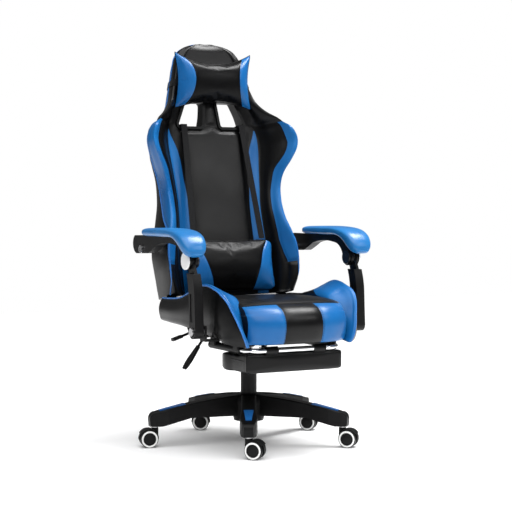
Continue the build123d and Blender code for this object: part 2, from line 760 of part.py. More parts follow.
# Straps: two bands from the lumbar pillow into the slots, one round the head
strap_top = Vector(*on_back(0, 610.5, -5))
strap_way = Vector(*on_back(0, 231.5, 28)) - strap_top
strap_plane = Plane(origin=strap_top, x_dir=(1, 0, 0), z_dir=strap_way.cross(Vector(1, 0, 0)))
head_outline = back_section(732, 129, 136, -14, 132, 10.5, 101, -4.5, -53.5).sketch_local
band_out = offset(head_outline, amount=4.4)
band_in = offset(head_outline, amount=2.8)
with BuildPart() as pillow_straps:
    for way in (1, -1):
        with BuildSketch(strap_plane):
            Polygon((way * 93, 0), (way * 113, 0), (way * 131, -strap_way.length),
                    (way * 111, -strap_way.length), align=None)
        extrude(amount=2)
        with BuildSketch(back_plane(-46)):
            Polygon((way * 93, 608.5), (way * 112.8, 608.5), (way * 112.8, 610.5), (way * 93, 610.5),
                    align=None)
        extrude(amount=42)
    with BuildSketch(back_level(732)):
        add(band_out)
        add(band_in, mode=Mode.SUBTRACT)
    extrude(amount=-24)
save(pillow_straps.part, "pillow_straps")

# Arms: upright on the seat frame, arched link to the back, padded top
with BuildPart() as arm_lower_bolts:
    for start, radius, long in ((250.5, 6, 42), (256, 12, 5.7), (290.5, 12, 5)):
        with BuildSketch(side_plane(start)):
            with Locations(arm_low):
                Circle(radius)
        extrude(amount=long)
    mirror(about=Plane.YZ)
save(arm_lower_bolts.part, "arm_lower_bolts")

with BuildPart() as arm_rear_bolts:
    for start, radius, long in ((182, 6, 110), (191, 10, 70.7), (290.5, 12, 5)):
        with BuildSketch(side_plane(start)):
            with Locations(arm_rear):
                Circle(radius)
        extrude(amount=long)
    mirror(about=Plane.YZ)
save(arm_rear_bolts.part, "arm_rear_bolts")


# One arm on the side given by way: +1 the sitter's left, -1 the right
def make_arm(side, way):
    with BuildPart() as upright:
        with BuildSketch(side_plane(way * arm_in)):
            with BuildLine():
                Line((-215, 370), (-209, 480))
                ThreePointArc((-209, 480), (-200, 522), (-175.7, 571.4))
                ThreePointArc((-175.7, 571.4), (-155, 596), (-134.3, 578.6))
                ThreePointArc((-134.3, 578.6), (-160, 530), (-171, 480))
                Line((-171, 480), (-175, 370))
                ThreePointArc((-175, 370), (-195, 350), (-215, 370))
            make_face()
        extrude(amount=way * (arm_out - arm_in))
        fillet(upright.edges().filter_by(Axis.X), radius=3)
        with BuildSketch(side_plane(way * arm_in)):
            with Locations((arm_front[0] - 8, arm_front[1] + 10)):
                Rectangle(80, 92)
        extrude(amount=way * 9.5, mode=Mode.SUBTRACT)
        with BuildSketch(side_plane(way * (arm_out - 9.5))):
            with Locations((arm_front[0] - 8, arm_front[1] + 10)):
                Rectangle(80, 92)
        extrude(amount=way * 9.5, mode=Mode.SUBTRACT)
        with BuildSketch(side_plane(way * (arm_out - 2))):
            Polygon((-204, 398), (-184, 398), (-180, 480), (-199, 480), align=None)
        extrude(amount=way * 4, mode=Mode.SUBTRACT)
        with BuildSketch(side_plane(way * (arm_in - 5))):
            with Locations(arm_low):
                Circle(6 + fit)
            with Locations(arm_front):
                Circle(7 + fit)
        extrude(amount=way * 40, mode=Mode.SUBTRACT)
    save(upright.part, f"arm_upright_{side}")

    with BuildPart() as link:
        with BuildSketch(side_plane(way * arm_in)):
            with BuildLine():
                Line((212, 641), (-100, 641))
                ThreePointArc((-100, 641), (-135, 630), (-168, 597))
                ThreePointArc((-168, 597), (-173, 557), (-131, 567))
                ThreePointArc((-131, 567), (-114, 603), (-78, 619))
                ThreePointArc((-78, 619), (-10, 623), (52, 614))
                ThreePointArc((52, 614), (84, 599), (112, 588))
                Line((112, 588), (196, 585))
                ThreePointArc((196, 585), (226, 614), (212, 641))
            make_face()
        extrude(amount=way * (arm_out - arm_in))
        with BuildSketch(side_plane(way * (arm_in + 9))):
            with Locations(arm_front):
                Circle(31)
        extrude(amount=way * 10, mode=Mode.SUBTRACT)
        with BuildSketch(side_plane(way * (arm_in - 5))):
            with Locations(arm_front):
                Circle(7)
            with Locations(arm_rear):
                Circle(6 + 0.3)
        extrude(amount=way * 40, mode=Mode.SUBTRACT)
    save(link.part, f"arm_link_{side}")

    with BuildPart() as pivot:
        for start, radius, long in ((arm_in - 4, 7, 36), (arm_in - 6, 21, 6), (arm_out, 26, 5)):
            with BuildSketch(side_plane(way * start)):
                with Locations(arm_front):
                    Circle(radius)
            extrude(amount=way * long)
        fillet(pivot.edges().filter_by(GeomType.CIRCLE).sort_by(Axis.X)[-1 if way > 0 else 0], radius=2.5)
    save(pivot.part, f"arm_pivot_{side}")

    with BuildPart() as pad:
        with BuildSketch(side_plane(way * 240)):
            with BuildLine():
                Line((100, 641.2), (-97, 641.2))
                ThreePointArc((-97, 641.2), (-136.5, 632.8), (-175, 601))
                ThreePointArc((-175, 601), (-194, 587), (-213, 596))
                ThreePointArc((-213, 596), (-205, 637), (-150, 662))
                ThreePointArc((-150, 662), (-60, 669), (92, 666))
                ThreePointArc((92, 666), (103, 655), (100, 641.2))
            make_face()
        extrude(amount=way * 90)
        with BuildSketch(Plane.XY.offset(560)):
            with BuildLine():
                ThreePointArc((way * 258, 100), (way * 284, 112), (way * 312, 100))
                ThreePointArc((way * 312, 100), (way * 320, -60), (way * 324, -180))
                ThreePointArc((way * 324, -180), (way * 284, -240), (way * 246, -180))
                ThreePointArc((way * 246, -180), (way * 250, -60), (way * 258, 100))
            make_face()
        extrude(amount=140, mode=Mode.INTERSECT)
    save(pad.part, f"arm_pad_{side}")


make_arm("left", 1)
make_arm("right", -1)

# Footrest: guides under the frame, U-shaped tube, hinged pad
with BuildPart() as footrest_guides:
    with BuildSketch(Plane(origin=(0, -50, 0), x_dir=(1, 0, 0), z_dir=(0, -1, 0))):
        with Locations((bar_half, bar_z)):
            Circle(11)
    extrude(amount=196)
    with BuildSketch(Plane.XY.offset(bar_z)):
        with Locations((bar_half + 4, -83), (bar_half + 4, -231)):
            RectangleRounded(20, 30, 4)
    extrude(amount=plate_top - bar_z)
    with BuildSketch(Plane(origin=(0, -40, 0), x_dir=(1, 0, 0), z_dir=(0, -1, 0))):
        with Locations((bar_half, bar_z)):
            Circle(bar_radius + fit)
    extrude(amount=220, mode=Mode.SUBTRACT)
    mirror(about=Plane.YZ)
save(footrest_guides.part, "footrest_guides")

with BuildPart() as footrest_frame:
    with BuildLine(Plane.XY.offset(bar_z)) as hoop_line:
        FilletPolyline((-bar_half, -54), (-bar_half, bar_y), (bar_half, bar_y), (bar_half, -54), radius=40)
    with BuildSketch(Plane(origin=hoop_line.line @ 0, z_dir=hoop_line.line % 0)):
        Circle(bar_radius)
    sweep(path=hoop_line.line)
save(footrest_frame.part, "footrest_frame")

with BuildPart() as footrest_brackets:
    for centre in (-80, 80):
        with BuildSketch(side_plane(centre - 19)):
            with Locations((bar_y, bar_z)):
                Circle(11.5)
            with Locations((bar_y + 24, 306)):
                Rectangle(54, 8)
            with Locations((bar_y, bar_z)):
                Circle(bar_radius + fit, mode=Mode.SUBTRACT)
        extrude(amount=38)
save(footrest_brackets.part, "footrest_brackets")


# Cross-section of the footrest pad at y, with rounded corners and a crowned underside
def footrest_section(y, half, low, high):
    corner = (high - low) * 0.2
    with BuildSketch(Plane.XZ.offset(-y)) as section:
        with BuildLine():
            ThreePointArc((-half + corner, low), (0, low - 2), (half - corner, low))
            Line((half - corner, high), (-half + corner, high))
            for way in (1, -1):
                ThreePointArc((way * (half - corner), low), (way * (half - corner * 0.3), low + corner * 0.3),
                              (way * half, low + corner))
                Line((way * half, low + corner), (way * half, high - corner))
                ThreePointArc((way * half, high - corner), (way * (half - corner * 0.3), high - corner * 0.3),
                              (way * (half - corner), high))
        make_face()
    return section.sketch


footrest_stations = (
    (-289, 148, 262, 296),
    (-285, 156, 255, 300),
    (-275, 160, 251.5, 301.8),
    (-205, 160.5, 250, 301.8),
    (-140, 158, 252, 301),
    (-128, 153, 256, 298),
    (-123, 145, 264, 292),
)
footrest_sections = [footrest_section(*station) for station in footrest_stations]
with BuildPart() as footrest_pad:
    loft(footrest_sections)
    split(bisect_by=Plane.XY.offset(301.9), keep=Keep.BOTTOM)
save(footrest_pad.part, "footrest_pad")
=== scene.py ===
import json
import bmesh
import bpy
import numpy as np
from math import sin, cos, pi, radians
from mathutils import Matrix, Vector


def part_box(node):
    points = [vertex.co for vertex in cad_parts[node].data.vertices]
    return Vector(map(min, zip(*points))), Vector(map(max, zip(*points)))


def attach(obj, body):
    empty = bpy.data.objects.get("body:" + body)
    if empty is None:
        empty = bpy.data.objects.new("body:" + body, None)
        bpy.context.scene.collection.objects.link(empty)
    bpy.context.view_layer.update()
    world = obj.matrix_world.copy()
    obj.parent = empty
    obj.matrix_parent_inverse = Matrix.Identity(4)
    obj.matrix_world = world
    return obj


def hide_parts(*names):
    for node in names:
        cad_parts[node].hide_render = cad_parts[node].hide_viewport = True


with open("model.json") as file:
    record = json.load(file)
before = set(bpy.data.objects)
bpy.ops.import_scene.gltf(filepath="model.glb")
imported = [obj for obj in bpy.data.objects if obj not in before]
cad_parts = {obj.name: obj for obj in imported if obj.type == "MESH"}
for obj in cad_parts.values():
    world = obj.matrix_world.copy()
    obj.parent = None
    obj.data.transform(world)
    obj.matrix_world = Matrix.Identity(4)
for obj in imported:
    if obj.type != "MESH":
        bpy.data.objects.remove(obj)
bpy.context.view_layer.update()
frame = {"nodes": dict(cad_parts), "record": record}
print("frame loaded:", len(frame["nodes"]), "solids")


# Finishes

def startFinish(name):
    mat = bpy.data.materials.new(name)
    mat.use_nodes = True
    tree = mat.node_tree
    shader = tree.nodes["Principled BSDF"]
    where = tree.nodes.new("ShaderNodeTexCoord")
    return mat, tree, shader, where.outputs["Object"]


# Link another node's output to a socket, or set the socket's value
def fill(tree, node, sockets):
    for socket, source in sockets.items():
        if hasattr(source, "is_output"):
            tree.links.new(source, node.inputs[socket])
        else:
            node.inputs[socket].default_value = source


def addNode(tree, kind, sockets, **values):
    node = tree.nodes.new(kind)
    for key, value in values.items():
        setattr(node, key, value)
    fill(tree, node, sockets)
    return node


def tintBetween(tree, factor, low, high):
    # 6 and 7 are the mix node's two colours
    mix = addNode(tree, "ShaderNodeMix", {0: factor, 6: (*low, 1), 7: (*high, 1)}, data_type="RGBA")
    return mix.outputs[2]


def spread(tree, value, fromLow, fromHigh, low, high):
    ends = {0: value, 1: fromLow, 2: fromHigh, 3: low, 4: high}
    return addNode(tree, "ShaderNodeMapRange", ends).outputs[0]


def noise(tree, where, scale, detail):
    sockets = {"Vector": where, "Scale": scale, "Detail": detail}
    return addNode(tree, "ShaderNodeTexNoise", sockets).outputs["Fac"]


def relief(tree, height, strength, distance):
    sockets = {"Strength": strength, "Distance": distance, "Height": height}
    return addNode(tree, "ShaderNodeBump", sockets).outputs[0]


def leatherFinish(name, deep, light, look):
    mat, tree, shader, where = startFinish(name)
    cloudy = noise(tree, where, 9.0, 3.0)
    sockets = {"Vector": where, "Scale": look["grain"]}
    pores = addNode(tree, "ShaderNodeTexVoronoi", sockets).outputs["Distance"]
    fine = noise(tree, where, look["grain"] * 2.2, 2.0)
    edges = addNode(tree, "ShaderNodeNewGeometry", {}).outputs["Pointiness"]
    wear = spread(tree, edges, 0.505, 0.56, 0.0, 0.35)  # edges rub a little paler
    patchy = spread(tree, cloudy, 0.3, 0.7, 0.0, 0.75)
    shade = addNode(tree, "ShaderNodeMath", {0: patchy, 1: wear}, operation="ADD", use_clamp=True).outputs[0]
    grain = addNode(tree, "ShaderNodeMath", {0: pores, 1: fine}, operation="ADD").outputs[0]
    fill(tree, shader, {
        "Base Color": tintBetween(tree, shade, deep, light),
        "Roughness": spread(tree, cloudy, 0.3, 0.7, *look["rough"]),
        "Normal": relief(tree, grain, look["relief"], 0.0006),
        "Sheen Weight": look.get("sheen", 0.0), "Sheen Roughness": 0.45, "Specular IOR Level": look["gloss"],
    })
    return mat


def mouldedFinish(name, deep, light, look):
    mat, tree, shader, where = startFinish(name)
    cloudy = noise(tree, where, 14.0, 4.0)
    spark = noise(tree, where, look["grain"], 2.0)
    shade = spread(tree, cloudy, 0.3, 0.7, 0.0, 1.0)
    fill(tree, shader, {
        "Base Color": tintBetween(tree, shade, deep, light),
        "Roughness": spread(tree, spark, 0.3, 0.7, *look["rough"]),
        "Normal": relief(tree, spark, look["relief"], 0.0004),
        "Coat Weight": look.get("coat", 0.0), "Specular IOR Level": look.get("gloss", 0.5),
    })
    return mat


def brushedFinish(name, deep, light, rough, along):
    mat, tree, shader, where = startFinish(name)
    stretched = addNode(tree, "ShaderNodeMapping", {"Vector": where, "Scale": along}).outputs[0]
    lines = noise(tree, stretched, 60.0, 5.0)
    fill(tree, shader, {
        "Base Color": tintBetween(tree, lines, deep, light),
        "Roughness": spread(tree, lines, 0.3, 0.7, *rough),
        "Normal": relief(tree, lines, 0.08, 0.0002), "Metallic": 1.0,
    })
    return mat


def webbingFinish(name, deep, light):
    mat, tree, shader, where = startFinish(name)
    threads = []
    for scale, bend, along in ((240.0, 0.4, "X"), (150.0, 0.6, "Z")):
        sockets = {"Vector": where, "Scale": scale, "Distortion": bend}
        threads.append(addNode(tree, "ShaderNodeTexWave", sockets, bands_direction=along).outputs["Fac"])
    weave = addNode(tree, "ShaderNodeMath", {0: threads[0], 1: threads[1]}, operation="MULTIPLY").outputs[0]
    fill(tree, shader, {
        "Base Color": tintBetween(tree, weave, deep, light),
        "Roughness": spread(tree, weave, 0.0, 1.0, 0.85, 0.62),
        "Normal": relief(tree, weave, 0.5, 0.0008), "Sheen Weight": 0.04, "Specular IOR Level": 0.2,
    })
    return mat


blackHide = leatherFinish("black_leather", (0.0012, 0.0012, 0.0014), (0.003, 0.003, 0.0033),
                          {"grain": 620.0, "relief": 0.16, "rough": (0.28, 0.38), "gloss": 0.24})
# the pillows' black leather is a darker copy of the same leather: painted shade
shadedPillowHide = leatherFinish("pillow_leather_painted_shade", (0.0008, 0.0008, 0.001), (0.002, 0.002, 0.0022),
                           {"grain": 620.0, "relief": 0.14, "rough": (0.3, 0.4), "gloss": 0.13})
blueHide = leatherFinish("blue_leather", (0.0045, 0.092, 0.29), (0.008, 0.132, 0.38),
                         {"grain": 620.0, "relief": 0.13, "rough": (0.27, 0.37), "gloss": 0.28})
blueThread = leatherFinish("blue_piping", (0.01, 0.12, 0.42), (0.018, 0.17, 0.53),
                           {"grain": 1100.0, "relief": 0.1, "rough": (0.38, 0.5), "sheen": 0.1, "gloss": 0.4})
stitchThread = webbingFinish("stitch_thread", (0.004, 0.004, 0.005), (0.02, 0.02, 0.022))
armSkin = leatherFinish("blue_arm_skin", (0.01, 0.13, 0.36), (0.018, 0.18, 0.46),
                        {"grain": 900.0, "relief": 0.1, "rough": (0.26, 0.38), "sheen": 0.01, "gloss": 0.42})
nylon = mouldedFinish("black_nylon_grain", (0.0022, 0.0022, 0.0025), (0.005, 0.005, 0.0053),
                      {"grain": 900.0, "relief": 0.25, "rough": (0.38, 0.55), "gloss": 0.16})
plastic = mouldedFinish("black_plastic_grain", (0.002, 0.002, 0.0023), (0.005, 0.005, 0.0053),
                        {"grain": 1200.0, "relief": 0.18, "rough": (0.32, 0.5), "gloss": 0.18})
wheelNylon = mouldedFinish("black_wheel_grain", (0.0025, 0.0025, 0.0028), (0.006, 0.006, 0.0063),
                           {"grain": 1000.0, "relief": 0.2, "rough": (0.35, 0.5), "gloss": 0.18})
whiteCap = mouldedFinish("white_moulding", (0.78, 0.78, 0.77), (0.9, 0.9, 0.89),
                         {"grain": 700.0, "relief": 0.08, "rough": (0.25, 0.4), "coat": 0.2})
blueInsert = mouldedFinish("blue_moulding", (0.008, 0.12, 0.42), (0.014, 0.17, 0.53),
                           {"grain": 800.0, "relief": 0.1, "rough": (0.25, 0.38), "coat": 0.2})
paintedSteel = mouldedFinish("black_powder_coat", (0.003, 0.003, 0.0033), (0.007, 0.007, 0.0075),
                             {"grain": 1500.0, "relief": 0.3, "rough": (0.4, 0.58), "gloss": 0.2})
plainSteel = brushedFinish("plated_steel", (0.42, 0.42, 0.43), (0.62, 0.62, 0.63),
                           (0.22, 0.36), (1.0, 1.0, 12.0))
chromed = brushedFinish("chrome_plate", (0.72, 0.73, 0.75), (0.86, 0.86, 0.87),
                        (0.05, 0.12), (1.0, 8.0, 8.0))
webbing = webbingFinish("black_webbing_weave", (0.0015, 0.0015, 0.002), (0.007, 0.007, 0.008))


# White outside the arm, black on the boss inside it
def pivotFinish(name, split):
    mat, tree, shader, where = startFinish(name)
    across = addNode(tree, "ShaderNodeSeparateXYZ", {0: where}).outputs["X"]
    outside = addNode(tree, "ShaderNodeMath", {0: across}, operation="ABSOLUTE").outputs[0]
    white = addNode(tree, "ShaderNodeMath", {0: outside, 1: split}, operation="GREATER_THAN").outputs[0]
    cloudy = noise(tree, where, 260.0, 3.0)
    fill(tree, shader, {
        "Base Color": tintBetween(tree, white, (0.006, 0.006, 0.0065), (0.86, 0.86, 0.85)),
        "Roughness": spread(tree, cloudy, 0.3, 0.7, 0.28, 0.42),
        "Normal": relief(tree, cloudy, 0.1, 0.0003),
    })
    return mat


pivotMoulding = pivotFinish("pivot_moulding", 0.29)  # metres out from the middle of the chair
print("finishes made")

solidFinish = {
    "black_nylon": nylon, "blue_trim": blueInsert, "steel": plainSteel, "black_metal": paintedSteel,
    "black_plastic": plastic, "black_cover": blackHide, "black_webbing": webbing, "blue_pad": armSkin,
    "white_plastic": pivotMoulding, "chrome_tube": chromed, "wheel_plastic": wheelNylon,
}
for part in frame["record"]["subparts"]:
    solid = frame["nodes"][part["node"]]
    solid.data.materials.clear()
    solid.data.materials.append(solidFinish[part["material_slot"]])


# Shaping tools, all in millimetres until a mesh is made

# Smooth curve through the values, read off at the given places
def smoothThrough(knots, values, at):
    knots = np.asarray(knots, float)
    values = np.asarray(values, float)
    at = np.asarray(at, float)
    slope = np.gradient(values, knots, axis=0)
    k = np.clip(np.searchsorted(knots, at) - 1, 0, len(knots) - 2)
    h = knots[k + 1] - knots[k]
    t = (at - knots[k]) / h
    a, b = 2 * t**3 - 3 * t**2 + 1, (t**3 - 2 * t**2 + t) * h
    c, d = 3 * t**2 - 2 * t**3, (t**3 - t**2) * h
    a, b, c, d = (m.reshape(m.shape + (1,) * (values.ndim - 1)) for m in (a, b, c, d))
    return a * values[k] + b * slope[k] + c * values[k + 1] + d * slope[k + 1]


def ease(value, low, high):
    t = np.clip((np.asarray(value, float) - low) / (high - low), 0, 1)
    return t * t * (3 - 2 * t)


# 0 at both seams of a panel, 1 in its middle
def swell(t):
    return np.clip(1 - (2 * np.clip(t, 0, 1) - 1) ** 4, 0, 1) ** 0.7


def unit(ways):
    return ways / np.maximum(np.linalg.norm(ways, axis=-1, keepdims=True), 1e-9)


# Distance covered at each point of a path
def runAlong(path):
    return np.concatenate([[0], np.cumsum(np.linalg.norm(np.diff(path, axis=0), axis=1))])


def loopNormals(loops):
    around = np.roll(loops, -1, axis=1) - np.roll(loops, 1, axis=1)
    normal = unit(np.cross(np.gradient(loops, axis=0), around))
    outward = loops - loops.mean(axis=1, keepdims=True)
    return normal if (normal * outward).sum() > 0 else -normal


# Loops that draw an end together: share of the size, and how far out
def endRings(loop, out, rings):
    middle = loop.mean(axis=0)
    return [middle + (loop - middle) * scale + np.asarray(out, float) * rise for scale, rise in rings]


# Outline between a circle and a square, 1 across each way
def squareRound(count, power):
    turn = np.linspace(0, 2 * pi, count, endpoint=False)
    return (np.sign(np.cos(turn)) * np.abs(np.cos(turn)) ** power,
            np.sign(np.sin(turn)) * np.abs(np.sin(turn)) ** power)


# Quads between closed rings of points, and from the last ring back to the first if joined
def ringFaces(rings, around, joined=False):
    faces = []
    for r in range(rings if joined else rings - 1):
        a, b = r * around, (r + 1) % rings * around
        faces += [(a + c, a + (c + 1) % around, b + (c + 1) % around, b + c) for c in range(around)]
    return faces


def addObject(name, data):
    added = bpy.data.objects.new(name, data)
    bpy.context.collection.objects.link(added)
    return added


def shadeSmooth(mesh, smooth=True):
    mesh.polygons.foreach_set("use_smooth", np.full(len(mesh.polygons), smooth))


def buildMesh(name, points, faces, finishes, faceFinish=None):
    mesh = bpy.data.meshes.new(name)
    mesh.from_pydata((np.asarray(points) / 1000).tolist(), [], faces)
    for finish in finishes:
        mesh.materials.append(finish)
    if faceFinish is not None:
        mesh.polygons.foreach_set("material_index", np.asarray(faceFinish, dtype=np.int32))
    shadeSmooth(mesh)
    mesh.update()
    return addObject(name, mesh)


# Closed skin over a stack of loops, with a fan at either end
def skinLoops(name, loops, finishes, finishAt=lambda r, c, spot: 0):
    rows, cols = loops.shape[:2]
    points = np.concatenate([loops.reshape(-1, 3), loops[:1].mean(axis=1), loops[-1:].mean(axis=1)])
    faces = ringFaces(rows, cols)
    finish = [finishAt(n // cols, n % cols, points[list(face)].mean(axis=0)) for n, face in enumerate(faces)]
    first, last = rows * cols, rows * cols + 1
    for c in range(cols):
        d = (c + 1) % cols
        faces.append((first, d, c))
        finish.append(finishAt(0, c, points[first]))
        faces.append((last, (rows - 1) * cols + c, (rows - 1) * cols + d))
        finish.append(finishAt(rows - 2, c, points[last]))
    piece = buildMesh(name, points, faces, finishes, finish)
    heart = Vector(points.mean(axis=0) / 1000)
    facing = sum(poly.normal.dot(poly.center - heart) * poly.area for poly in piece.data.polygons)
    if facing < 0:
        piece.data.flip_normals()
    return piece


def pipe(name, runs, radius, finishes, closed=False):
    curve = bpy.data.curves.new(name, "CURVE")
    curve.dimensions = "3D"
    curve.bevel_depth = radius / 1000
    curve.bevel_resolution = 3
    curve.use_fill_caps = True
    for path, finish in runs:
        line = curve.splines.new("POLY")
        line.points.add(len(path) - 1)
        for point, spot in zip(line.points, np.asarray(path) / 1000):
            point.co = (*spot, 1)
        line.use_cyclic_u = closed
        line.use_smooth = True
        line.material_index = finish
    for finish in finishes:
        curve.materials.append(finish)
    return addObject(name, curve)


def applyModifier(piece, modifier):
    with bpy.context.temp_override(object=piece, active_object=piece, selected_objects=[piece]):
        bpy.ops.object.modifier_apply(modifier=modifier.name)


# Rows of single stitches lying on paths
def stitchRow(name, paths, finish, look):
    points, faces = [], []
    ringed = 6
    single = ringFaces(3, ringed) + [tuple(reversed(range(ringed))), tuple(range(2 * ringed, 3 * ringed))]
    askew = (0.31, 0.52, 0.79)  # along no seam, to turn each stitch's section from
    for path in paths:
        run = runAlong(path)
        for start in np.arange(2, run[-1] - look["long"], look["pitch"]):
            ends = [np.array([np.interp(start + share * look["long"], run, path[:, k]) for k in range(3)])
                    for share in (0, 0.5, 1)]
            way = unit(ends[2] - ends[0])
            side = unit(np.cross(way, askew))
            lift = np.cross(way, side)
            faces += [tuple(len(points) + k for k in face) for face in single]
            for spot, fat in zip(ends, (0.45, 1.0, 0.45)):
                for k in range(ringed):
                    turn = 2 * pi * k / ringed
                    points.append(spot + (side * cos(turn) + lift * sin(turn)) * look["thick"] * fat)
    return buildMesh(name, np.array(points), faces, [finish])


sides = (("left", 1), ("right", -1))


# Back rest

backPad = {
    "hinge": (120.0, 394.0),
    "lean": radians(11.4),
    # height up the back, rear half width, side half width and depth, wing tip half width and depth,
    # half width at the foot of the wing, front depth, rear depth
    "stations": (
        (60, 209, 216, 10, 200, 45, 148, -12, -84), (100, 212, 224, 14, 217, 58, 150, -10, -86),
        (150, 216, 232, 16, 227, 64, 152, -8, -88), (205, 219, 230, 14, 224, 63, 152, -7, -88),
        (250, 209, 218, 10, 211, 60, 150, -7, -88), (300, 198, 207, 5, 197, 49, 147, -8, -88),
        (357, 187, 202, 3, 195, 39, 146, -9, -87), (405, 184, 204, 5, 199, 38, 149, -9, -86),
        (450, 186, 214, 13, 212, 51, 152, -10, -86), (485, 192, 233, 26, 230, 70, 155, -11, -86),
        (518, 197, 250, 40, 245, 82, 158, -12, -86), (550, 197, 256, 44, 251, 85, 159, -13, -85),
        (581, 191, 246, 42, 240, 82, 157, -15, -80), (610, 172, 218, 34, 216, 68, 150, -17, -68),
        (646, 150, 176, 4, 175, 38, 138, -16, -56), (680, 142, 152, -6, 150, 20, 124, -12, -54),
        (720, 132, 139, -14, 135, 10, 112, -8, -54), (765, 121, 127, -14, 121, 9, 100, -4, -52),
        (805, 112, 118, -14, 111, 8, 90, 0, -48), (838, 99, 106, -15, 97, 4, 78, 1, -42),
        (858, 79, 88, -15, 77, 0, 60, 0, -36), (869, 53, 63, -15, 52, -4, 40, -5, -30),
        (874, 32, 42, -15, 32, -9, 24, -10, -25)),
    "marks": (0, 0.5, 1, 1.5, 2, 2.5, 3, 3.5, 4, 4.2, 4.4, 4.7, 5),  # place of each corner across
    # seams as (height, place across), 0 front middle to 5 rear middle
    "innerA": ((60, 0.73), (300, 0.73), (340, 0.735), (400, 0.75), (430, 0.765), (510, 0.78), (530, 0.8),
               (550, 0.843), (570, 0.9), (596, 0.985), (880, 0.985)),
    "innerB": ((60, 1.01), (880, 1.01)),
    "outerC": ((60, 1.7), (160, 1.63), (180, 1.57), (200, 1.53), (220, 1.5), (260, 1.53), (300, 1.58),
               (340, 1.57), (380, 1.57), (420, 1.6), (460, 1.6), (500, 1.72), (540, 1.75), (560, 1.73),
               (580, 1.74), (600, 1.79), (650, 1.8), (880, 1.8)),
    "outerD": ((60, 2.8), (80, 2.6), (100, 2.3), (140, 2.05), (180, 2.05), (220, 2.15), (260, 2.6),
               (300, 3.0), (340, 3.2), (380, 3.35), (420, 3.5), (460, 3.6), (500, 3.5), (540, 3.2),
               (580, 3.3), (600, 3.5), (650, 3.5), (700, 3.4), (880, 3.3)),
    "stripeLow": 152, "stripeHigh": 610, "apex": 596, "innerEnd": 600, "beside": 2.0, "sink": 1.0,
    # columns and swelling of each panel: middle, inner stripe, wing, outer stripe, rear
    "rows": 150, "counts": (9, 4, 9, 11, 15),
    "puff": (4.5, 2.2, 3.5, 4.0, 4.5), "puffHead": 5.0,
    "slot": ((20, 694), (86, 694), (125, 603), (30, 603)),
    "slotRound": 11.0, "slotGrow": 0.4, "slotReach": (-130, 60), "lip": -17.4, "slotSide": 2.2,
}


# A point across, up and out from the leaning back
def onBack(x, v, w):
    s, c = sin(backPad["lean"]), cos(backPad["lean"])
    y0, z0 = backPad["hinge"]
    x, v, w = np.broadcast_arrays(np.asarray(x, float), v, w)
    return np.stack([x, y0 + v * s - w * c, z0 + v * c + w * s], axis=-1)


def backSection(v, q):
    stations = np.array(backPad["stations"], float)
    rear, side, sideW, tip, tipW, foot, front, rearW = smoothThrough(stations[:, 0], stations[:, 1:], v).T
    xs = (0 * foot, foot / 2, foot, (tip + foot) / 2 - 1, tip, side * 0.75 + tip * 0.25 + 0.5, side,
          (rear + side) / 2 + 2, rear, rear - 3, rear - 10, rear / 2, 0 * rear)
    ws = (front, front + 0.8, front + 3, (tipW + front) / 2 + 4, tipW, sideW * 0.25 + tipW * 0.75 + 1, sideW,
          (rearW + 14 + sideW) / 2 - 1, rearW + 14, rearW + 6, rearW + 2, rearW - 1, rearW - 2)
    corners = np.stack([np.stack(xs, 1), np.stack(ws, 1)], 2)
    marks = backPad["marks"]
    return np.array([smoothThrough(marks, section, places) for section, places in zip(corners, q)])


def seamAt(name, v):
    line = np.array(backPad[name], float)
    return smoothThrough(line[:, 0], line[:, 1], v)


# Distance from the edge of the nearer slot, below 0 inside it
def farFromSlot(x, v):
    corners = np.array(backPad["slot"], float)
    far = np.full(np.shape(x), 1e9)
    inside = np.zeros(np.shape(x), bool)
    ax = np.abs(x)
    for (x0, v0), (x1, v1) in zip(corners, np.roll(corners, -1, axis=0)):
        dx, dv = x1 - x0, v1 - v0
        t = np.clip(((ax - x0) * dx + (v - v0) * dv) / (dx**2 + dv**2), 0, 1)
        far = np.minimum(far, np.hypot(ax - x0 - t * dx, v - v0 - t * dv))
        crosses = (v0 > v) != (v1 > v)
        with np.errstate(divide="ignore", invalid="ignore"):
            inside ^= crosses & (ax < dx * (v - v0) / dv + x0)
    return np.where(inside, -far, far)


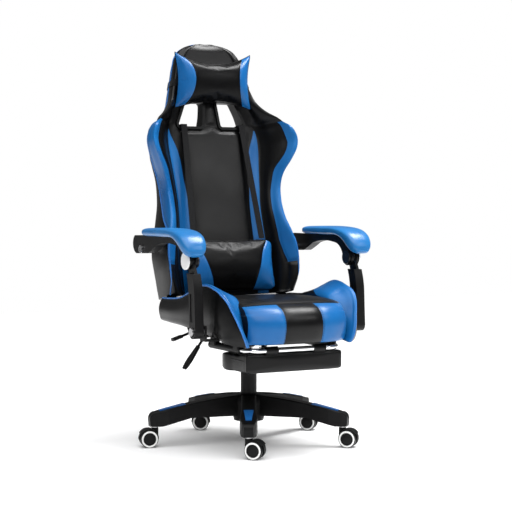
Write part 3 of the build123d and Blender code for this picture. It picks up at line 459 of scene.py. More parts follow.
def makeBack():
    # rows lie on the cross seams, and close by on either side of them
    keep = [backPad["stripeLow"], backPad["stripeHigh"], backPad["apex"]]
    lowest, highest = backPad["stations"][0][0], backPad["stations"][-1][0]
    beside = backPad["beside"]
    evenly = [v for v in np.linspace(lowest, highest, backPad["rows"])
              if min(abs(v - k) for k in keep) > 1.1 * beside]
    vRows = np.array(sorted(evenly + keep + [k + d for k in keep[:2] for d in (-beside, beside)]))
    seams = [seamAt(name, vRows) for name in ("innerA", "innerB", "outerC", "outerD")]
    edges = [np.zeros(len(vRows)), *seams, np.full(len(vRows), float(backPad["marks"][-1]))]
    cols, panel, share = [], [], []
    for number, count in enumerate(backPad["counts"]):
        for step in range(count):
            t = step / count
            cols.append(edges[number] * (1 - t) + edges[number + 1] * t)
            panel.append(number)
            share.append(t)
    cols.append(edges[5])
    q = np.stack(cols, 1)
    share = np.array(share + [1.0])
    panel = np.array(panel + [4])
    flat = backSection(vRows, q)
    half = onBack(flat[..., 0], vRows[:, None], flat[..., 1])
    inHead = ease(vRows, backPad["stripeHigh"] - 6, backPad["stripeHigh"] + 30)[:, None]
    below = ease(np.abs(vRows - backPad["stripeHigh"]), 0, 14)[:, None]
    low = ease(np.abs(vRows - backPad["stripeLow"]), 0, 12)[:, None]
    # the middle and the rear are half panels up to the mirror line
    apart = np.choose(panel, (0.5 + share / 2, share, share, share, share / 2))
    height = np.array(backPad["puff"])[panel] * swell(apart)
    height = height[None, :] * np.ones((len(vRows), 1))
    front = panel[None, :] < 4
    whole = backPad["puffHead"] * swell(0.5 + np.clip(q / edges[4][:, None], 0, 1) / 2)
    ended = np.where(panel == 3, below * low, below)
    height = np.where(front, height * (1 - inHead) * ended + whole * inHead * below, height)
    isInner = panel[None, :] == 1
    height = np.where(isInner, height * ease(backPad["apex"] - vRows, -2, 40)[:, None], height)
    height = np.where(isInner & (vRows[:, None] > backPad["innerEnd"]), whole * inHead * below, height)
    # the cover goes down to the slots' bezels
    far = farFromSlot(flat[..., 0], vRows[:, None] * np.ones_like(q))
    bySlot = q < backPad["slotSide"]
    height = height * (1 - np.where(bySlot, 1 - ease(far, 7, 26), 0)) - backPad["sink"]
    drop = np.where(bySlot, np.maximum(flat[..., 1] - backPad["lip"], 0) * (1 - ease(far, 6, 20)), 0)
    loops = np.concatenate([half, (half * (-1, 1, 1))[:, -2:0:-1]], axis=1)
    tall = np.concatenate([height, height[:, -2:0:-1]], axis=1)
    sunk = np.concatenate([drop, drop[:, -2:0:-1]], axis=1)
    normal = loopNormals(loops)
    lean = backPad["lean"]
    loops = loops + normal * tall[..., None] + sunk[..., None] * np.array([0, cos(lean), -sin(lean)])
    up = np.array([0, sin(lean), cos(lean)])
    top = endRings(loops[-1], up, ((0.86, 1.6), (0.6, 2.8), (0.3, 3.3)))
    foot = endRings(loops[0], -up, ((0.25, 5.5), (0.7, 5.2), (0.9, 4.2), (0.965, 2.6), (0.99, 1.0)))
    skin = np.array(foot + list(loops) + top)
    shift = len(foot)
    order = np.concatenate([panel, panel[-2:0:-1]])

    def finishAt(r, c, spot):
        r = r - shift
        if r < 0 or r >= len(vRows) - 1:
            return 0
        v = (vRows[r] + vRows[min(r + 1, len(vRows) - 1)]) / 2
        number = order[c if c < len(panel) - 1 else (c + 1) % len(order)]  # mirrored on the right
        if number == 1 and v < backPad["apex"]:
            return 1
        return 1 if number == 3 and backPad["stripeLow"] < v < backPad["stripeHigh"] else 0

    piece = skinLoops("back_rest_pad", skin, [blackHide, blueHide], finishAt)
    return piece, loops, vRows, np.cumsum(backPad["counts"]).tolist()


def roundedOutline(corners, grow, radius, steps=6):
    corners = np.array(corners, float)
    way = unit(np.roll(corners, -1, axis=0) - corners)
    turn = np.sign(np.cross(way[0], way[1]))
    out = np.stack([way[:, 1], -way[:, 0]], 1) * turn
    outline = []
    for n in range(len(corners)):
        a, b = n - 1, n
        # where the two sides meet once moved out, then round it
        lhs = np.array([out[a], out[b]])
        meet = np.linalg.solve(lhs, [out[a] @ corners[n] + grow, out[b] @ corners[n] + grow])
        bend = np.arccos(np.clip(way[a] @ way[b], -1, 1))
        back = (radius + grow) * np.tan(bend / 2)
        start, end = meet - way[a] * back, meet + way[b] * back
        centre = start - out[a] * (radius + grow)
        for t in np.linspace(0, 1, steps):
            spot = start * (1 - t) + end * t - centre
            outline.append(centre + unit(spot) * (radius + grow))
    return np.array(outline)


def cutSlots(piece):
    outline = roundedOutline(backPad["slot"], backPad["slotGrow"], backPad["slotRound"])
    for way in (1, -1):
        flat = outline * (way, 1)
        ends = [onBack(flat[:, 0], flat[:, 1], w) for w in backPad["slotReach"]]
        count = len(flat)
        faces = ringFaces(2, count) + [tuple(range(count)), tuple(range(2 * count - 1, count - 1, -1))]
        cutter = buildMesh("slot_cutter", np.concatenate(ends), faces, [blackHide])
        shadeSmooth(cutter.data, False)
        if way < 0:
            cutter.data.flip_normals()
        trim = piece.modifiers.new("slot", "BOOLEAN")
        trim.operation = "DIFFERENCE"
        trim.solver = "EXACT"
        trim.object = cutter
        applyModifier(piece, trim)
        bpy.data.objects.remove(cutter)
    piece.data.set_sharp_from_angle(angle=radians(55))


backPiece, backLoops, backRows, seamCols = makeBack()
cutSlots(backPiece)
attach(backPiece, "backrest")
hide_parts("backrest_cushion")

# the piping follows the outer seam up, then bends over the crown
backPipe = {
    "radius": 2.6, "proud": 1.2, "leaves": 858, "points": 420,
    "crown": ((62, 870.5, -21), (44, 876.8, -21.5), (24, 879.6, -22)), "top": (0, 880.4, -22),
}
backNormals = loopNormals(backLoops)
pipingCol = seamCols[3]
upSide = backLoops[:, pipingCol] + backNormals[:, pipingCol] * backPipe["proud"]
upSide = upSide[backRows < backPipe["leaves"]]
crown = np.array([onBack(*spot) for spot in backPipe["crown"]])
overTop = onBack(*backPipe["top"])[None]
oneSide = np.concatenate([upSide, crown])
pipingPath = np.concatenate([oneSide, overTop, (oneSide * (-1, 1, 1))[::-1]])
pipingRun = runAlong(pipingPath)
pipingPath = smoothThrough(pipingRun, pipingPath, np.linspace(0, pipingRun[-1], backPipe["points"]))
backPiping = pipe("back_rest_piping", [(pipingPath, 0)], backPipe["radius"], [blueThread])
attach(backPiping, "backrest")

stitchLook = {"long": 4.6, "pitch": 7.2, "thick": 0.55, "proud": 0.3}
stitchPaths = []
stitchedSeams = ((0, -1, 62, 585), (1, 1, 62, 600), (2, -1, 152, 608))  # seam, side of it, from, to
for number, inset, spanLow, spanHigh in stitchedSeams:
    col = seamCols[number]
    pick = (backRows > spanLow) & (backRows < spanHigh)
    line = backLoops[:, col + inset] * 0.75 + backLoops[:, col] * 0.25
    line = line + backNormals[:, col + inset] * stitchLook["proud"]
    stitchPaths += [line[pick], (line * (-1, 1, 1))[pick]]
backStitches = stitchRow("back_rest_stitches", stitchPaths, stitchThread, stitchLook)
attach(backStitches, "backrest")
print("back rest made:", len(backPiece.data.polygons), "faces")


# Seat: middle cushion and two bolsters

seatMiddle = {
    # y, z and how far the point follows the rounded front, round the cushion from the rear foot
    "profile": ((132, 384, 0), (60, 377, 0), (-100, 363, 0), (-230, 343, 0.3), (-300, 333.5, 0.8),
                (-328, 334.5, 1), (-341, 349, 1), (-348, 377, 1), (-347.5, 400, 1), (-338, 421, 1),
                (-318, 438, 0.8), (-285, 449, 0.4), (-250, 455.5, 0.12), (-200, 459, 0), (-120, 459, 0),
                (-50, 456, 0), (30, 451, 0), (100, 446, 0), (138, 440, 0), (146, 412, 0)),
    # places along the profile
    "footSeam": 5, "topSeam": 11, "topEnd": 18.2, "dipFrom": 9, "dipTo": 19,
    "half": 166.0, "corner": 42.0, "stripe": 62.0, "beside": 2.5, "dip": 5.0,
    "fine": 4, "puffFront": 5.0, "puffTop": 5.5, "sink": 1.0,
}


def makeSeatMiddle():
    prof = np.array(seatMiddle["profile"] + seatMiddle["profile"][:1], float)
    fine = seatMiddle["fine"]
    knots = np.arange(len(prof))
    t = np.arange((len(prof) - 1) * fine) / fine
    around = smoothThrough(knots, prof, t)
    half, stripe, beside = seatMiddle["half"], seatMiddle["stripe"], seatMiddle["beside"]
    footSeam, topSeam, topEnd = seatMiddle["footSeam"], seatMiddle["topSeam"], seatMiddle["topEnd"]
    xs = np.unique(np.concatenate([np.linspace(-half, -stripe, 15), np.linspace(-stripe, stripe, 17),
                                   np.linspace(stripe, half, 15),
                                   [stripe + beside, stripe - beside, -stripe - beside, beside - stripe]]))
    front = (t >= footSeam) & (t <= topSeam)
    top = (t > topSeam) & (t < topEnd)
    dipped = (t > seatMiddle["dipFrom"]) & (t < seatMiddle["dipTo"])
    loops, tall = [], []
    for x in xs:
        away = seatMiddle["corner"] * abs(x / half) ** 3.2
        # the ends of the cushion dip a little towards the bolsters
        dip = seatMiddle["dip"] * abs(x / half) ** 4
        y, z = around[:, 0] + around[:, 2] * away, around[:, 1] - dip * dipped
        if x < -stripe:
            across = swell((x + half) / (half - stripe))
        elif x > stripe:
            across = swell((half - x) / (half - stripe))
        else:
            across = swell((x + stripe) / (2 * stripe))
        whole = swell((x + half) / (2 * half))
        up = np.zeros(len(t))
        up[front] = seatMiddle["puffFront"] * swell((t[front] - footSeam) / (topSeam - footSeam)) * across
        up[top] = seatMiddle["puffTop"] * swell((t[top] - topSeam) / (topEnd - topSeam)) * whole
        loops.append(np.stack([np.full(len(t), x), y, z], 1))
        tall.append(up - seatMiddle["sink"])
    loops = np.array(loops)
    normal = loopNormals(loops)
    loops = loops + normal * np.array(tall)[..., None]
    left = endRings(loops[0], (-1, 0, 0), ((0.2, 5), (0.6, 4.6), (0.88, 3.6), (0.965, 2)))
    right = endRings(loops[-1], (1, 0, 0), ((0.965, 2), (0.88, 3.6), (0.6, 4.6), (0.2, 5)))
    skin = np.array(left + list(loops) + right)
    isFront = [footSeam <= place + 0.5 / fine < topSeam for place in t]

    def finishAt(r, c, spot):
        inside = len(left) <= r < len(left) + len(xs) - 1
        return 1 if inside and isFront[c] and abs(spot[0]) > stripe else 0

    piece = skinLoops("seat_middle_cushion", skin, [blackHide, blueHide], finishAt)
    return piece, loops, normal, xs


seatPiece, seatLoops, seatNormals, seatX = makeSeatMiddle()
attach(seatPiece, "seat")
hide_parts("seat_cushion")

seatBolster = {
    # y, outer half width, underside, crest, height of the middle, inner foot
    "stations": ((-215, 234, 350, 490, 455, 154), (-180, 236, 353, 498.5, 457, 156),
                 (-145, 238, 357, 500.5, 457, 160), (-100, 241, 362, 491, 456, 164),
                 (-50, 243, 368, 472, 454, 168), (0, 243, 372, 457, 451, 172),
                 (60, 242, 374, 450, 447, 176), (140, 238, 377, 447, 442, 180)),
    # y and place across the section of the seam where the blue panel runs out to the rear
    "seam": ((-215, 1.5), (-150, 1.7), (-100, 2.3), (-50, 3.4), (0, 4.5), (140, 4.75)),
    # the front closes like a hood about a line across the seat:
    # angle, edge across, edge reach, valley reach, outer wall high and low
    "hub": (-215, 350),
    "hood": ((90, 224, 140, 104, 234, 232.5), (108, 222, 130, 82, 232, 232),
             (120, 216, 122, 66, 229, 230), (132, 209.5, 111.5, 54, 225, 228),
             (145, 202, 104.5, 46, 221, 226), (156, 197, 103, 42, 217, 224),
             (168, 190.5, 103.5, 40, 214, 222), (180, 183, 104.5, 39, 212, 221),
             (191, 174, 102, 38, 208, 218)),
    # underside, lip and fall of the hood's edge, by angle
    "rise": ((90, 100), (0, 8)), "lip": ((90, 135), (17, 7)), "fall": ((90, 135), (3, 7)),
    "pipe": 5, "outEnd": 8,  # places across the section: the piping, and where the outer panel ends
    "rows": 52, "hoodRows": 30, "fine": 6, "puffIn": 4.0, "puffOut": 3.5, "sink": 0.8,
    "pipeRadius": 2.4, "pipeProud": 1.0,
}


def makeBolster(name, way):
    table = np.array(seatBolster["stations"], float)
    ys = np.linspace(table[0, 0], table[-1, 0], seatBolster["rows"])
    half, low, crest, level, foot = smoothThrough(table[:, 0], table[:, 1:], ys).T
    # nine corners round the section, from the inner foot over the crest and down the outer wall
    xs = (foot - 14, foot - 12, foot + 3, foot + 0.5 * (half - foot) - 4, half - 27, half - 10, half,
          half - 1.5, half - 14)
    zs = (low + 5, level - 22, level + 0.22 * (crest - level), level + 0.7 * (crest - level), crest - 3,
          crest, crest * 0.62 + low * 0.38, crest * 0.28 + low * 0.72, low)
    corners = len(xs)
    length = np.stack([np.stack(xs, 1), np.repeat(ys[:, None], corners, 1), np.stack(zs, 1)], 2)

    hood = np.array(seatBolster["hood"], float)
    turn = np.linspace(hood[-1, 0], hood[0, 0], seatBolster["hoodRows"], endpoint=False)
    edge, reach, valley, wallHigh, wallLow = smoothThrough(hood[:, 0], hood[:, 1:], turn).T
    foot = np.full(len(turn), table[0, 5])
    low, lip, fall = (np.interp(turn, *seatBolster[key]) for key in ("rise", "lip", "fall"))
    xs = (foot - 14, foot - 12, foot + 3, (foot + edge) / 2 + 2, edge - lip, edge, wallHigh, wallLow,
          wallLow - 12)
    rs = (low + 5, valley - 22, valley + 0.22 * (reach - valley), valley + 0.62 * (reach - valley),
          reach - fall, reach, reach * 0.62 + low * 0.38, reach * 0.28 + low * 0.72, low)
    out = np.stack(rs, 1)
    hubY, hubZ = seatBolster["hub"]
    angle = np.radians(turn)[:, None]
    fan = np.stack([np.stack(xs, 1), hubY + out * np.cos(angle), hubZ + out * np.sin(angle)], 2)

    ring = np.concatenate([fan, length])
    ring = np.concatenate([ring, ring[:, :1]], axis=1)
    fine = seatBolster["fine"]
    t = np.arange(corners * fine) / fine
    seamY, seamPlace = np.array(seatBolster["seam"], float).T
    seam = np.concatenate([np.full(len(turn), seamPlace[0]), np.interp(ys, seamY, seamPlace)])
    puffFrom, pipeAt, outEnd = seamPlace[0], seatBolster["pipe"], seatBolster["outEnd"]
    places = np.array([np.interp(t, (0, 1, 2, pipeAt, corners), (0, 1, at, pipeAt, corners)) for at in seam])
    knots = np.arange(corners + 1)
    loops = np.array([smoothThrough(knots, section, place) for section, place in zip(ring, places)])
    inside = seatBolster["puffIn"] * swell((places - puffFrom) / (pipeAt - puffFrom))
    inside *= (places > puffFrom) & (places < pipeAt)
    outside = seatBolster["puffOut"] * swell((places - pipeAt) / (outEnd - pipeAt))
    outside *= (places > pipeAt) & (places < outEnd)
    normal = loopNormals(loops)
    loops = loops + normal * (inside + outside - seatBolster["sink"])[..., None]
    under = endRings(loops[0], (0, 0, -1), ((0.2, 3), (0.6, 2.8), (0.85, 2.2), (0.96, 1)))
    rear = endRings(loops[-1], (0, 1, 0), ((0.97, 1.5), (0.9, 3), (0.7, 4.5), (0.3, 5)))
    skin = np.array(under + list(loops) + rear)

    def finishAt(r, c, spot):
        if r < len(under) or r >= len(under) + len(loops) - 1:
            return 0
        return 1 if 2 < t[c] + 0.5 / fine < pipeAt else 0

    piece = skinLoops(name, skin * (way, 1, 1), [blackHide, blueHide], finishAt)
    col = pipeAt * fine
    path = loops[:, col] + normal[:, col] * seatBolster["pipeProud"]
    piping = pipe(name + "_piping", [(path * (way, 1, 1), 0)], seatBolster["pipeRadius"], [blueThread])
    return piece, piping


for side, way in sides:
    bolster, bolsterPiping = makeBolster(f"seat_bolster_{side}", way)
    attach(bolster, "seat")
    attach(bolsterPiping, "seat")

# a row of stitches on either side of the front panel's seams
seatStitchPaths = []
footCol, topCol = (seatMiddle[seam] * seatMiddle["fine"] for seam in ("footSeam", "topSeam"))
for offset in (1, -1):
    line = seatLoops[:, topCol] * 0.6 + seatLoops[:, topCol + offset] * 0.4
    seatStitchPaths.append((line + seatNormals[:, topCol] * stitchLook["proud"])[1:-1])
for x in (seatMiddle["stripe"], -seatMiddle["stripe"]):
    for step in (1, -1):
        row = int(np.argmin(np.abs(seatX - x))) + step
        span = slice(footCol + 2, topCol - 1)
        seatStitchPaths.append(seatLoops[row, span] + seatNormals[row, span] * stitchLook["proud"])
seatStitches = stitchRow("seat_stitches", seatStitchPaths, stitchThread, stitchLook)
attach(seatStitches, "seat")
print("seat made")


# Pillows

coverBlow = {"pressure": 4.0, "slack": 0.008, "mass": 0.25, "stretch": 18, "shear": 8, "bend": 3.0,
             "frames": 20, "cap": 7.0}


# Blow a cover up with cloth pressure, sewn rim held, no point further than its cap
def inflate(piece, rim, look):
    settled = np.array([p.co for p in piece.data.vertices])
    sewn = piece.vertex_groups.new(name="sewn")
    sewn.add(rim, 1.0, "REPLACE")
    cover = piece.modifiers.new("cover", "CLOTH")
    cover.settings.vertex_group_mass = sewn.name
    cover.settings.quality = 6
    cover.settings.mass = look["mass"]
    cover.settings.tension_stiffness = look["stretch"]
    cover.settings.compression_stiffness = look["stretch"]
    cover.settings.shear_stiffness = look["shear"]
    cover.settings.bending_stiffness = look["bend"]
    cover.settings.shrink_min = -look["slack"]
    cover.settings.use_pressure = True
    cover.settings.uniform_pressure_force = look["pressure"]
    cover.settings.effector_weights.gravity = 0
    cover.collision_settings.use_collision = False
    for number in range(1, look["frames"] + 1):
        bpy.context.scene.frame_set(number)
    blown = piece.evaluated_get(bpy.context.evaluated_depsgraph_get())
    step = np.array([p.co for p in blown.data.vertices]) - settled
    piece.modifiers.remove(cover)
    piece.vertex_groups.remove(sewn)
    bpy.context.scene.frame_set(1)
    far = np.linalg.norm(step, axis=1, keepdims=True)
    mean, most = (round(float(value) * 1000, 1) for value in (far.mean(), far.max()))
    print(piece.name, "cover moved", mean, "mm on average,", most, "at most")
    step *= np.minimum(1, look["cap"] / 1000 / np.maximum(far, 1e-9))
    piece.data.vertices.foreach_set("co", (settled + step).ravel())
    piece.data.update()


def subdivide(piece):
    finer = piece.modifiers.new("finer", "SUBSURF")
    finer.levels = 1
    applyModifier(piece, finer)
    shadeSmooth(piece.data)


def makePillow(name, look):
    middle, ends, rise = look["grid"]
    count = middle + 2 * ends + 1

    def closer(share):  # rows and columns draw together towards the rim
        return 0.6 * share + 0.4 * np.sin(share * pi / 2)

    up = closer(np.linspace(-1, 1, rise))
    bound = np.array(look["bound"], float)
    seam = smoothThrough(bound[:, 0], bound[:, 1], up) / look["half"]
    outer = closer(np.linspace(0, 1, ends + 1)[1:])
    across = np.zeros((count, rise))
    across[ends:ends + middle + 1] = np.linspace(-1, 1, middle + 1)[:, None] * seam
    across[ends + middle + 1:] = seam + (1 - seam) * outer[:, None]
    across[:ends] = -across[ends + middle + 1:][::-1]
    up = np.tile(up, (count, 1))
    out = np.abs(across)
    blunt = look["corner"] * (across * up) ** 10
    x = look["half"] * across * (1 - look["pinchSide"] * (1 - up**2) * across**2 - blunt)
    drawn = np.where(up > 0, look["pinchTop"], look["pinchFoot"])
    v = look["tall"] * up * (1 - drawn * (1 - out ** look["horn"]) * np.abs(up) ** 1.5 - blunt)
    body = np.clip((1 - out**3.2) * (1 - up**2), 0, 1) ** 0.55
    # sewn panel seams sit a little low, and soft pull lines run in from the corners
    body = body - look["groove"] * np.exp(-((out - seam) * look["half"] / 3.2) ** 2) * (body > 0.25)
    pull = np.sin(9 * across + 3 * up) * np.sin(7 * up - 2 * across) * out**3 * body * look["crease"]
    turn = look["turn"]

    def place(w):
        vv = v * cos(turn) - w * sin(turn)
        ww = v * sin(turn) + w * cos(turn)
        return onBack(x, look["v"] + vv, look["w"] + ww)

    front = place(look["front"] * body + pull)
    back = place(-look["back"] * body)
    points = np.concatenate([front.reshape(-1, 3), back.reshape(-1, 3)])
    size = count * rise
    rim = [i * rise + j for i in range(count) for j in range(rise)
           if i in (0, count - 1) or j in (0, rise - 1)]
    shared = {size + k: k for k in rim}  # front and back meet in one sewn rim
    faces, finish = [], []
    for sheetNo in (0, 1):
        for i in range(count - 1):
            for j in range(rise - 1):
                quad = [(i, j), (i + 1, j), (i + 1, j + 1), (i, j + 1)]
                quad = [sheetNo * size + a * rise + b for a, b in quad]
                quad = [shared.get(k, k) for k in quad]
                faces.append(tuple(quad if sheetNo == 0 else quad[::-1]))
                finish.append(int(i < ends or i >= ends + middle))
    piece = buildMesh(name, points, faces, [shadedPillowHide, blueHide], finish)
    bm = bmesh.new()
    bm.from_mesh(piece.data)
    bmesh.ops.delete(bm, geom=[p for p in bm.verts if not p.link_faces], context="VERTS")
    bmesh.ops.recalc_face_normals(bm, faces=bm.faces)
    bm.to_mesh(piece.data)
    bm.free()
    inflate(piece, rim, coverBlow)
    front = np.array([p.co for p in piece.data.vertices][:size]).reshape(count, rise, 3) * 1000
    subdivide(piece)
    inner = slice(ends, ends + middle + 1)
    runs = [(front[inner, 0], 0), (front[inner, -1], 0)]
    for tip in (front[ends + middle:], front[ends::-1]):
        runs.append((np.concatenate([tip[:, 0], tip[-1, 1:-1], tip[::-1, -1]]), 1))
    edge = pipe(name + "_seam", runs, look["seamRadius"], [shadedPillowHide, blueHide])
    return piece, edge


headPillow = {
    "v": 748, "w": 25, "turn": radians(10.7), "half": 139, "tall": 91, "front": 39, "back": 15,
    "grid": (44, 14, 44), "groove": 0.05, "seamRadius": 1.1,
    "pinchSide": 0.1, "pinchTop": 0.42, "pinchFoot": 0.26, "horn": 2.2, "crease": 1.6, "corner": 0.03,
    "bound": ((-1, 104), (-0.5, 88), (0, 80), (0.5, 86), (1, 104)),
}
lumbarPillow = {
    "v": 146, "w": 28, "turn": 0.0, "half": 158, "tall": 85, "front": 33, "back": 31,
    "grid": (46, 14, 40), "groove": 0.05, "seamRadius": 1.1,
    "pinchSide": 0.05, "pinchTop": 0.07, "pinchFoot": 0.07, "horn": 2.2, "crease": 1.4, "corner": 0.13,
    "bound": ((-1, 70), (-0.5, 80), (0, 94), (0.5, 110), (1, 140)),
}
for node, look in (("head_pillow", headPillow), ("lumbar_pillow", lumbarPillow)):
    pillow, edge = makePillow(node + "_pad", look)
    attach(pillow, "backrest")
    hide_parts(node)
    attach(edge, "backrest")
print("pillows made")


# Straps: two up to the slots, one round the head

strapLook = {
    "wide": 20.0, "thick": 1.8, "crown": 0.25,
    "top": (103.0, 610.5, -4.2), "foot": (121.0, 231.5, 28.5), "inSlot": (-44, -8),
}


def ribbon(name, line, normal, look, finish):
    across = np.array([look["wide"] / 2, 0, 0])
    crown, thick = look["crown"], look["thick"]
    section = ((-1, 0), (-0.5, crown), (0.5, crown), (1, 0), (1, -thick), (-1, -thick))
    points = [spot + across * side + out * lift for spot, out in zip(line, normal) for side, lift in section]
    ring = len(section)
    faces = ringFaces(len(line), ring)
    faces.append(tuple(range(ring)))
    faces.append(tuple((len(line) - 1) * ring + c for c in reversed(range(ring))))
    piece = buildMesh(name, np.array(points), faces, [finish])
    piece.data.set_sharp_from_angle(angle=radians(40))
    return piece


for side, way in sides:
    t = np.linspace(0, 1, 40)
    x, v, w = (top * (1 - t) + foot * t for top, foot in zip(strapLook["top"], strapLook["foot"]))
    inSlot = onBack(np.full(8, way * x[0]), v[0], np.linspace(*strapLook["inSlot"], 8))
    line = np.concatenate([inSlot, onBack(way * x, v, w)])
    lift = unit(np.cross(np.gradient(line, axis=0), (-1, 0, 0)))
    strap = ribbon(f"lumbar_strap_{side}", line, lift, strapLook, webbing)
    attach(strap, "backrest")
    length = runAlong(line)[-1] / 1000
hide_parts("pillow_straps")

bandLook = {"low": 733.0, "high": 756.0, "clear": 0.7, "thick": 1.4}
rings = []
for edge, lift in (("low", 0), ("high", 0), ("high", bandLook["thick"]), ("low", bandLook["thick"])):
    row = int(np.argmin(np.abs(backRows - bandLook[edge])))
    rings.append(backLoops[row] + backNormals[row] * (bandLook["clear"] + lift))
rings = np.array(rings).transpose(1, 0, 2)
faces = ringFaces(*rings.shape[:2], joined=True)
headBand = buildMesh("head_pillow_band", rings.reshape(-1, 3), faces, [webbing])
headBand.data.set_sharp_from_angle(angle=radians(40))
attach(headBand, "backrest")
print("straps made")


# Arm pads

armPad = {
    # top line and underside, front to rear, as (y, z)
    "top": ((-214, 597), (-213, 611), (-204, 630), (-184, 648), (-152, 661), (-110, 667), (-60, 669),
            (0, 668.5), (60, 667), (90, 665.5), (101, 660)),
    "under": ((-199, 588), (-186, 592), (-172, 604), (-153, 622), (-130, 635), (-100, 641.4), (-60, 641.6),
              (0, 641.6), (60, 641.6), (90, 641.6), (101, 645)),
    "middle": 282.5, "half": (23, 32, 38.5, 42, 43, 42.5, 42, 41, 40, 38, 32), "rows": 64, "round": 3.2,
}


def makeArmPad(side, way):
    knots = np.arange(len(armPad["top"]))
    t = np.linspace(0, knots[-1], armPad["rows"])
    top, under, half = (smoothThrough(knots, armPad[line], t) for line in ("top", "under", "half"))
    cx, cz = squareRound(40, 2 / armPad["round"])
    loops = []
    for a, b, wide in zip(top, under, half):
        mid, lift = (a + b) / 2, (a - b) / 2
        x = way * (armPad["middle"] + wide * cx)
        loops.append(np.stack([x, mid[0] + lift[0] * cz, mid[1] + lift[1] * cz], 1))
    loops = np.array(loops)
    nose = endRings(loops[0], (0, -0.8, -0.6), ((0.2, 4.5), (0.55, 4), (0.82, 2.8), (0.95, 1.2)))
    tail = endRings(loops[-1], (0, 1, 0), ((0.95, 1), (0.82, 2.2), (0.5, 3), (0.2, 3.2)))
    skin = np.array(nose + list(loops) + tail)
    return skinLoops(f"arm_rest_pad_{side}", skin, [armSkin])


for side, way in sides:
    pad = makeArmPad(side, way)
    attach(pad, f"arm_link_{side}")
    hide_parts(f"arm_pad_{side}")
print("arm pads made")


# Footrest pad

footPad = {
    # y, half width, underside and top
    "stations": ((-290, 157, 254.5, 303), (-287, 160, 251.5, 306), (-277, 161, 250.5, 307.2),
                 (-257, 161, 250.3, 306.8), (-242, 161, 250, 302.5), (-205, 161, 250, 301.5),
                 (-136, 160, 251.5, 301), (-127, 156, 255, 298), (-123, 148, 263, 292)),
    "rows": 84, "round": 13.0,
    # seam round the pad: half width, middle, reach either way, height
    "seam": (160.6, -206, 83.0, 286), "seamRound": 10.0, "seamRadius": 1.8,
}


def makeFootPad():
    table = np.array(footPad["stations"], float)
    ys = np.linspace(table[0, 0], table[-1, 0], footPad["rows"])
    half, low, high = smoothThrough(table[:, 0], table[:, 1:], ys).T
    cx, cz = squareRound(72, 2 / footPad["round"])
    loops = np.array([np.stack([h * cx, np.full(len(cx), y), (a + b) / 2 + (b - a) / 2 * cz], 1)
                      for y, h, a, b in zip(ys, half, low, high)])
    front = endRings(loops[0], (0, -1, 0), ((0.3, 3), (0.75, 2.6), (0.93, 1.4)))
    rear = endRings(loops[-1], (0, 1, 0), ((0.93, 1.4), (0.75, 2.6), (0.3, 3)))
    skin = np.array(front + list(loops) + rear)
    piece = skinLoops("footrest_cushion", skin, [blackHide])
    wide, middle, reach, level = footPad["seam"]
    cx, cy = squareRound(120, 2 / footPad["seamRound"])
    rim = np.stack([wide * cx, middle + reach * cy, np.full(len(cx), float(level))], 1)
    seam = pipe("footrest_cushion_seam", [(rim, 0)], footPad["seamRadius"], [blackHide], closed=True)
    return piece, seam


footCushion, footSeam = makeFootPad()
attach(footCushion, "footrest_pad")
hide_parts("footrest_pad")
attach(footSeam, "footrest_pad")
print("footrest pad made")


# White rings on the caster wheels

wheelRing = {
    "face": 23.1, "around": 72,  # face's distance from the caster's middle, points round
    # radius and how far out from the face, round the section
    "section": ((19.3, -0.9), (19.6, 0.5), (20.6, 0.9), (23.4, 0.9), (24.6, 0.2), (25.4, -1.2), (24.4, -1.6),
                (20.2, -1.6)),
}
turn = np.linspace(0, 2 * pi, wheelRing["around"], endpoint=False)[:, None]
faces = ringFaces(len(wheelRing["section"]), wheelRing["around"], joined=True)
upright = np.array([0, 0, 1])
joints = {joint["name"]: joint for joint in frame["record"]["behaviour"]["joints"]}
for number in range(1, 6):
    for side in ("left", "right"):
        joint = joints[f"caster_{number}_roll_{side}"]
        centre = np.array(joint["pos_m"]) * 1000
        axle = np.array(joint["axis"], float)
        low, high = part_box(f"caster_{number}_wheel_{side}")
        middle = (np.array(low) + np.array(high)) * 500
        axle = axle * np.sign((middle - centre) @ axle)
        spokes = np.cos(turn) * np.cross(axle, upright) + np.sin(turn) * upright
        loops = [centre + axle * (wheelRing["face"] + out) + spokes * radius
                 for radius, out in wheelRing["section"]]
        ring = buildMesh(f"caster_{number}_ring_{side}", np.concatenate(loops), faces, [whiteCap])
        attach(ring, f"caster_{number}_wheel_{side}")
print("wheel rings made")


# Stage

studio = {"floor": 5.0, "sky": 0.17, "backdrop": 1.0, "glow": 0.09}
lamps = {
    "key_light": {"place": (-1.6, -2.6, 2.9), "target": (0, 0, 0.7), "size": (1.6, 1.2), "power": 8},
    "panel_light": {"place": (1.4, -2.35, 2.15), "target": (0, 0, 0.9), "size": (0.9, 0.7), "power": 12},
    "top_light": {"place": (1.15, -0.1, 2.95), "target": (0, -0.1, 0.6), "size": (1.2, 1.0), "power": 85},
}
overheadLook = {"power": 3.2, "angle": 70, "tilt": (22, -10)}
photoView = {"place": (-2.189, -4.086, 0.777), "down": 2.46, "turn": 28.46, "focal": 1500, "frame": 512}

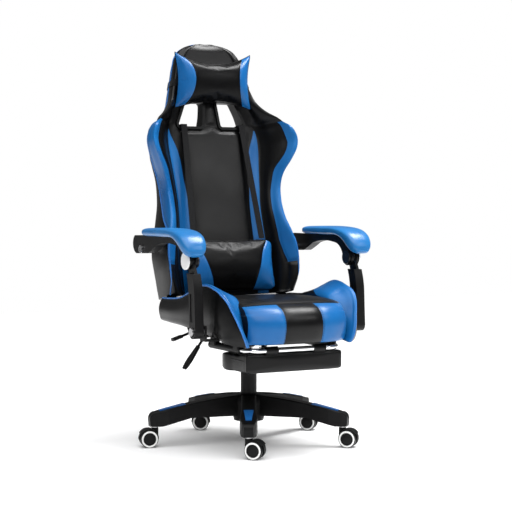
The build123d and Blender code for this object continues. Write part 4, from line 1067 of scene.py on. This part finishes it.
floorMesh = bpy.data.meshes.new("studio_floor")
span = studio["floor"]
corners = [(-span, -span, 0), (span, -span, 0), (span, span, 0), (-span, span, 0)]
floorMesh.from_pydata(corners, [], [(0, 1, 2, 3)])
floor = addObject("studio_floor", floorMesh)
floorMat, floorTree, floorShader, floorWhere = startFinish("pale_floor")
soft = noise(floorTree, floorWhere, 3.0, 2.0)
fill(floorTree, floorShader, {
    "Base Color": tintBetween(floorTree, soft, (0.945, 0.945, 0.95), (0.97, 0.97, 0.97)),
    "Roughness": 0.7, "Emission Color": (1, 1, 1, 1), "Emission Strength": studio["glow"],
})
floorMesh.materials.append(floorMat)

world = bpy.data.worlds.new("studio")
bpy.context.scene.world = world
world.use_nodes = True
skyTree = world.node_tree
# the backdrop is white to look at, and lights the chair less than that
seen = addNode(skyTree, "ShaderNodeLightPath", {}).outputs["Is Camera Ray"]
glow = spread(skyTree, seen, 0.0, 1.0, studio["sky"], studio["backdrop"])
fill(skyTree, skyTree.nodes["Background"], {"Color": (1, 1, 1, 1), "Strength": glow})

for name, look in lamps.items():
    light = bpy.data.lights.new(name, "AREA")
    light.shape = "RECTANGLE"
    light.size, light.size_y = look["size"]
    light.energy = look["power"]
    lamp = addObject(name, light)
    lamp.location = look["place"]
    way = Vector(look["target"]) - Vector(look["place"])
    lamp.rotation_euler = way.to_track_quat("-Z", "Y").to_euler()

overhead = bpy.data.lights.new("overhead", "SUN")
overhead.energy = overheadLook["power"]
overhead.angle = radians(overheadLook["angle"])
overheadLamp = addObject("overhead", overhead)
overheadLamp.rotation_euler = (*np.radians(overheadLook["tilt"]), 0)

cameraData = bpy.data.cameras.new("photo_camera")
cameraData.sensor_width = 36
cameraData.lens = 36 * photoView["focal"] / photoView["frame"]
camera = addObject("photo_camera", cameraData)
camera.location = photoView["place"]
camera.rotation_euler = (radians(90 - photoView["down"]), 0, radians(-photoView["turn"]))
bpy.context.scene.camera = camera
bpy.context.scene.view_settings.view_transform = "Standard"
print("stage made")
